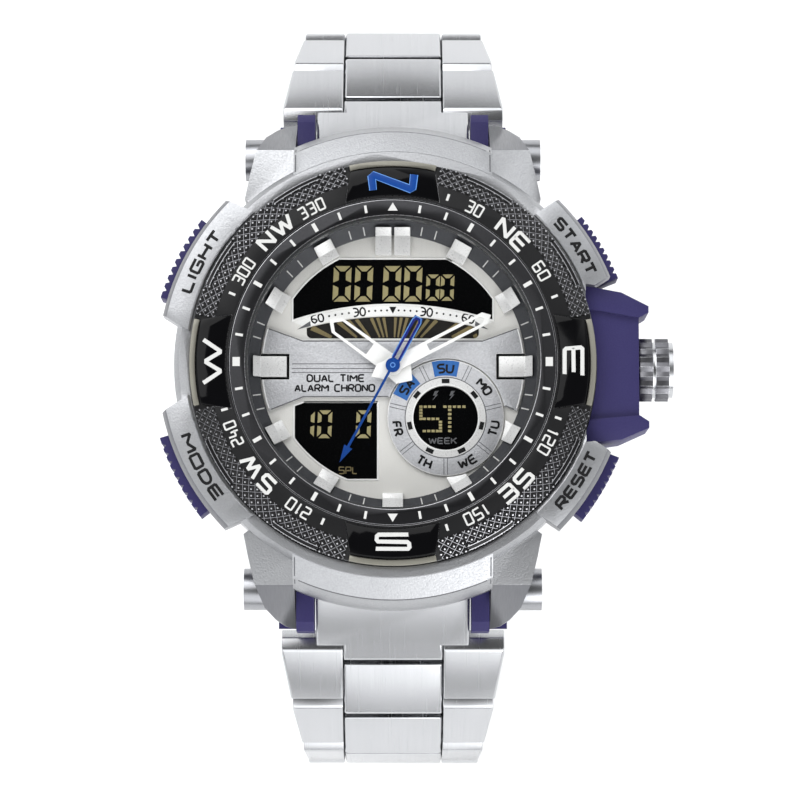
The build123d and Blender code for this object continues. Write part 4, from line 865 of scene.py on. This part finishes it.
# Painted shadow lines along the bridge's edges and painted highlight lines beside the flange
shadows = [[(-13.8, 4.23), (-10.0, 2.84), (10.0, 2.84), (13.8, 4.23)],
           [(-13.5, -4.78), (-9.9, -3.34), (-0.5, -3.34)], [(12.5, -4.38), (13.5, -4.78)]]
lay(strokes("bridge_shadow_lines", shadows, 0.12, THIN), BRIDGE_TOP, GREY_INK_AND_SHADE)
FLANGE_LINE_RADIUS = 14.52
spans = ((73.2, 84.0), (96.0, 108.8), (251.2, 264.0), (276.0, 286.8))
arcs = [arc_points(FLANGE_LINE_RADIUS, start, end, 6) for start, end in spans]
lay(strokes("bridge_painted_highlights", arcs, 0.14), BRIDGE_TOP, WHITE_AND_HIGHLIGHT)

# Grooves and words
grooves = [bar(-6.4, y, 9.6, 0.07) for y in (0.3, -0.23, -0.67)]
lay(plates("bridge_grooves", grooves, THIN), BRIDGE_TOP, GREY_INK_AND_SHADE)
WORDS = [("DUAL TIME", 6.5, -6.35, -1.3), ("ALARM CHRONO", 9.0, -6.45, -2.4)]
words = [shift(word("words", text, height=0.93, width=width, stroke=0.19, rounding=0.12), x, y)
         for text, width, x, y in WORDS]
lay(joined("bridge_words", words), BRIDGE_TOP, BLACK_INK_AND_SHADE)


# ---------------------------------------------------------------- weekday ring

WEEK_STEP = 360 / 7


def circle(radius, points=72):
    """A closed circle's outline."""
    return arc_points(radius, 0, 360 - 360 / points, points - 1)


def on_ring(piece, material, level=RING_TOP):
    """Lays a piece on the weekday ring."""
    return lay(shift(piece, *WEEKDAY_CENTRE), level, material)


# White inner ring with squares
on_ring(plates("week_mask", [circle(3.62)], THIN), DISPLAY, DISPLAY_TOP)
on_ring(plates("week_inner_ring", [circle(4.45), circle(3.7)], 0.05), SATIN)
on_ring(plates("week_inner_edge", [circle(3.72), circle(3.6)], 0.07), WHITE_AND_HIGHLIGHT)
on_ring(plates("week_groove", [circle(4.55), circle(4.45)], THIN), GREY_INK_AND_SHADE)
squares = around("week_squares", plates("square", [bar(0, 4.08, 0.86, 0.48)]),
                 [day * WEEK_STEP for day in range(7)])
on_ring(squares, BLACK_INK_AND_SHADE, RING_TOP + 0.05)
# Dividers, two blue tiles and labels
divider = plates("divider", [bar(-0.2, 5.45, 0.07, 1.8), bar(0.2, 5.45, 0.07, 1.8)], THIN)
dividers = around("week_dividers", divider, [(day + 0.5) * WEEK_STEP for day in range(7)])
on_ring(dividers, GREY_INK_AND_SHADE)
tile = plates("tile", [arc_points(6.4, -14, 14, 10) + arc_points(4.7, 15, -15, 8)], THIN)
on_ring(around("week_tiles", tile, (0, -WEEK_STEP)), TILE)
LABELS = [("SU", 1.9, False), ("MO", 2.0, False), ("TU", 1.8, True), ("WE", 2.2, True),
          ("TH", 1.8, True), ("FR", 1.7, True), ("SA", 1.9, False)]
labels = [ring_word(text, day * WEEK_STEP, radius=5.5, level=THIN, height=1.12, width=width,
                    stroke=0.24, inward=inward, rounding=0.14)
          for day, (text, width, inward) in enumerate(LABELS)]
on_ring(joined("week_labels", labels), BLACK_INK_AND_SHADE)

# The weekday display draws its letters with short dashes, under two bolts
WEEK_LEVEL = DISPLAY_TOP + THIN
# First dash, step and count of each stroke: five of the S, then two of the T
DASHES = [((3.12, -4.39), (0, -0.34), 5), ((3.61, -4.39), (0.49, 0), 3),
          ((3.5, -5.75), (0.49, 0), 4), ((5.3, -6.09), (0, -0.34), 4), ((3.5, -7.11), (0.49, 0), 4),
          ((5.8, -4.39), (0.53, 0), 5), ((6.33, -4.75), (0, -0.47), 6)]
dashes = [bar(x + right * count, y + up * count, 0.37, 0.27)
          for (x, y), (right, up), total in DASHES for count in range(total)]
lay(plates("week_display", dashes), WEEK_LEVEL, SEGMENT)
BOLT = [(0.36, 0.54), (-0.1, 0.5), (-0.3, -0.02), (-0.02, 0.02), (-0.36, -0.54), (0.26, 0.12),
        (0.04, 0.1)]
bolts = [[(x + px, -3.14 + py) for px, py in BOLT] for x in (4.78, 6.6)]
lay(plates("week_bolts", bolts), WEEK_LEVEL, GREY_INK_AND_SHADE)
week_word = word("week_word", "WEEK", height=0.75, width=3.2, stroke=0.15)
lay(shift(week_word, 5.55, -8.2), WEEK_LEVEL, GREY_INK_AND_SHADE)


# ---------------------------------------------------------------- markers and second hand

# Painted shade: the dark floors of the recesses round the markers at three and nine
recess_shade = [bar(side * 13.1, level, 3.2, 0.28) for side in (-1, 1) for level in (-1.3, 1.3)]
recess_shade += [bar(side * 11.65, 0, 0.28, 2.3) for side in (-1, 1)]
lay(plates("marker_recess_painted_shade", recess_shade, THIN), DIAL_TOP, BLACK_INK_AND_SHADE)
# Navy loop of the second hand's counterweight with its pale edge, and the hub's mark
SECOND_CLOCK = 28.5
loop = [(-0.36, 0.8), (-0.36, 5.5), (-0.2, 5.85), (0.2, 5.85), (0.36, 5.5), (0.36, 0.8)]
edge = [(-0.52, 0.8), (-0.52, 5.55), (-0.3, 6.02), (0.3, 6.02), (0.52, 5.55), (0.52, 0.8)]
for name, line, width, thickness, material in (("second_loop", loop, 0.3, 0.05, NAVY),
                                               ("second_loop_edge", edge, 0.12, 0.06, PALE_BLUE)):
    piece = at_clock(strokes(name, [line], width, thickness), SECOND_CLOCK)
    lay(piece, HUB_TOP, material, "second_hand")
lay(plates("hub_ring", [circle(0.3, 24), circle(0.2, 24)]), HUB_TOP, PALE_BLUE, "second_hand")


# ---------------------------------------------------------------- print on the shell

GUARD_RADIUS, GUARD_TILT, GUARD_WORD_LEVEL = 24.15, -8.4, GUARD_TOP - 0.17
GUARD_WORDS = [("LIGHT", 298.0, 7.7, False), ("MODE", 241.3, 8.2, True),
               ("START", 57.3, 7.3, False), ("RESET", 122.7, 7.3, True)]
guard_words = [ring_word(text, clock, GUARD_RADIUS, level=0, height=1.35, width=width,
                         stroke=0.33, inward=inward, tilt=GUARD_TILT, thickness=0.04)
               for text, clock, width, inward in GUARD_WORDS]
lay(joined("guard_words", guard_words), GUARD_WORD_LEVEL, BLACK_INK_AND_SHADE)

# A height above the whole watch
CLEAR_ABOVE = 40


def draped(piece, carrier):
    """Lowers a flat piece's points on to what carries it."""
    for vertex in piece.data.vertices:
        above = (vertex.co.x, vertex.co.y, CLEAR_ABOVE * MM)
        found, place, _, _ = carrier.ray_cast(above, (0, 0, -1))
        if found:
            vertex.co.z += place.z
    return piece


# Lines where the arch bars meet their lips and the lugs, let down on to the shell
LIP_RADIUS, LIP_HALF_ANGLE = 26.05, 23.5
LUG_LINE, LUG_LINE_START, LUG_LINE_STEP = 10.8, 21.4, 0.4
joints = [arc_points(LIP_RADIUS, middle - LIP_HALF_ANGLE, middle + LIP_HALF_ANGLE, 60)
          for middle in (0, 180)]
joints += [[(side * LUG_LINE, end * (LUG_LINE_START + LUG_LINE_STEP * step)) for step in range(8)]
           for side in (-1, 1) for end in (-1, 1)]
joint_lines = strokes("shell_joint_lines", joints, 0.13)
wear(draped(joint_lines, finished["case_shell"]), "case", GREY_INK_AND_SHADE)


# ---------------------------------------------------------------- stage, light and camera

FLOOR_SIZE = 3.0
SKY_BAND, SKY_FLOOR = 2.1, 0.05
FRONT_LIFT = -0.18
TILT = radians(5.8)
DISTANCE = 420
LENS, SENSOR = 170, 36
TARGET = Vector((0.8, -3.7, 9.0))

floor = grid(8, 8, FLOOR_SIZE)
floor.name = "paper_sweep"
floor.data.transform(Matrix.Translation((0, 0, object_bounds()[0].z)))
floor.data.materials.append(PAPER)

bpy.context.scene.view_settings.view_transform = "Standard"
world = bpy.data.worlds.new("studio")
bpy.context.scene.world = world
world.use_nodes = True
world.node_tree.nodes.clear()


def sky(kind, settings=None, links=None):
    """The first output of a node of the studio's sky."""
    return add(world.node_tree, kind, settings, links)[0]


# A dark middle overhead keeps black glass black; the bright band round it lights the steel.
# The band starts lower towards the camera's foot, and dims to the left and right.
direction = add(world.node_tree, "TexCoord")["Generated"]
_, along, up = add(world.node_tree, "SeparateXYZ", links={0: direction})
front = sky("Math", {"operation": "MULTIPLY", "use_clamp": True, 1: FRONT_LIFT}, {0: along})
lifted = sky("Math", {"operation": "ADD"}, {0: front, 1: up})
rise = sky("MapRange", {"interpolation_type": "SMOOTHSTEP", "From Min": 0.2, "From Max": 0.45},
           {"Value": lifted})
fall = sky("MapRange", {"interpolation_type": "SMOOTHSTEP", "From Min": 0.76, "From Max": 0.93,
                        "To Min": 1.0, "To Max": 0.03}, {"Value": up})
reach = sky("Math", {"operation": "ABSOLUTE"}, {0: along})
ends = sky("MapRange", {"From Min": 0.05, "From Max": 0.55, "To Min": 0.28, "To Max": 1.0},
           {"Value": reach})
ring = sky("Math", {"operation": "MULTIPLY"}, {0: rise, 1: fall})
glow = sky("Math", {"operation": "MULTIPLY"}, {0: ring, 1: ends})
strength = sky("Math", {"operation": "MULTIPLY_ADD", 1: SKY_BAND, 2: SKY_FLOOR}, {0: glow})
surface = sky("Background", {"Color": linear("#FAFBFC")}, {"Strength": strength})
add(world.node_tree, "OutputWorld", links={"Surface": surface})


def softbox(name, place, size, power):
    """A soft square light that looks at the watch."""
    light = bpy.data.lights.new(name, "AREA")
    light.shape = "RECTANGLE"
    light.size = light.size_y = size
    light.energy = power
    lamp = bpy.data.objects.new(name, light)
    lamp.location = place
    lamp.rotation_euler = (-Vector(place)).to_track_quat("-Z", "Y").to_euler()
    bpy.context.scene.collection.objects.link(lamp)


softbox("key_box", (-0.35, 0.45, 0.8), 0.8, 4.5)
softbox("fill_box", (0.45, -0.75, 0.5), 0.6, 3.0)

camera = bpy.data.objects.new("camera", bpy.data.cameras.new("camera"))
camera.data.lens = LENS
camera.data.sensor_width = SENSOR
camera.location = (TARGET + Vector((0, -sin(TILT), cos(TILT))) * DISTANCE) * MM
camera.rotation_euler = (TILT, 0, 0)
bpy.context.scene.collection.objects.link(camera)
bpy.context.scene.camera = camera
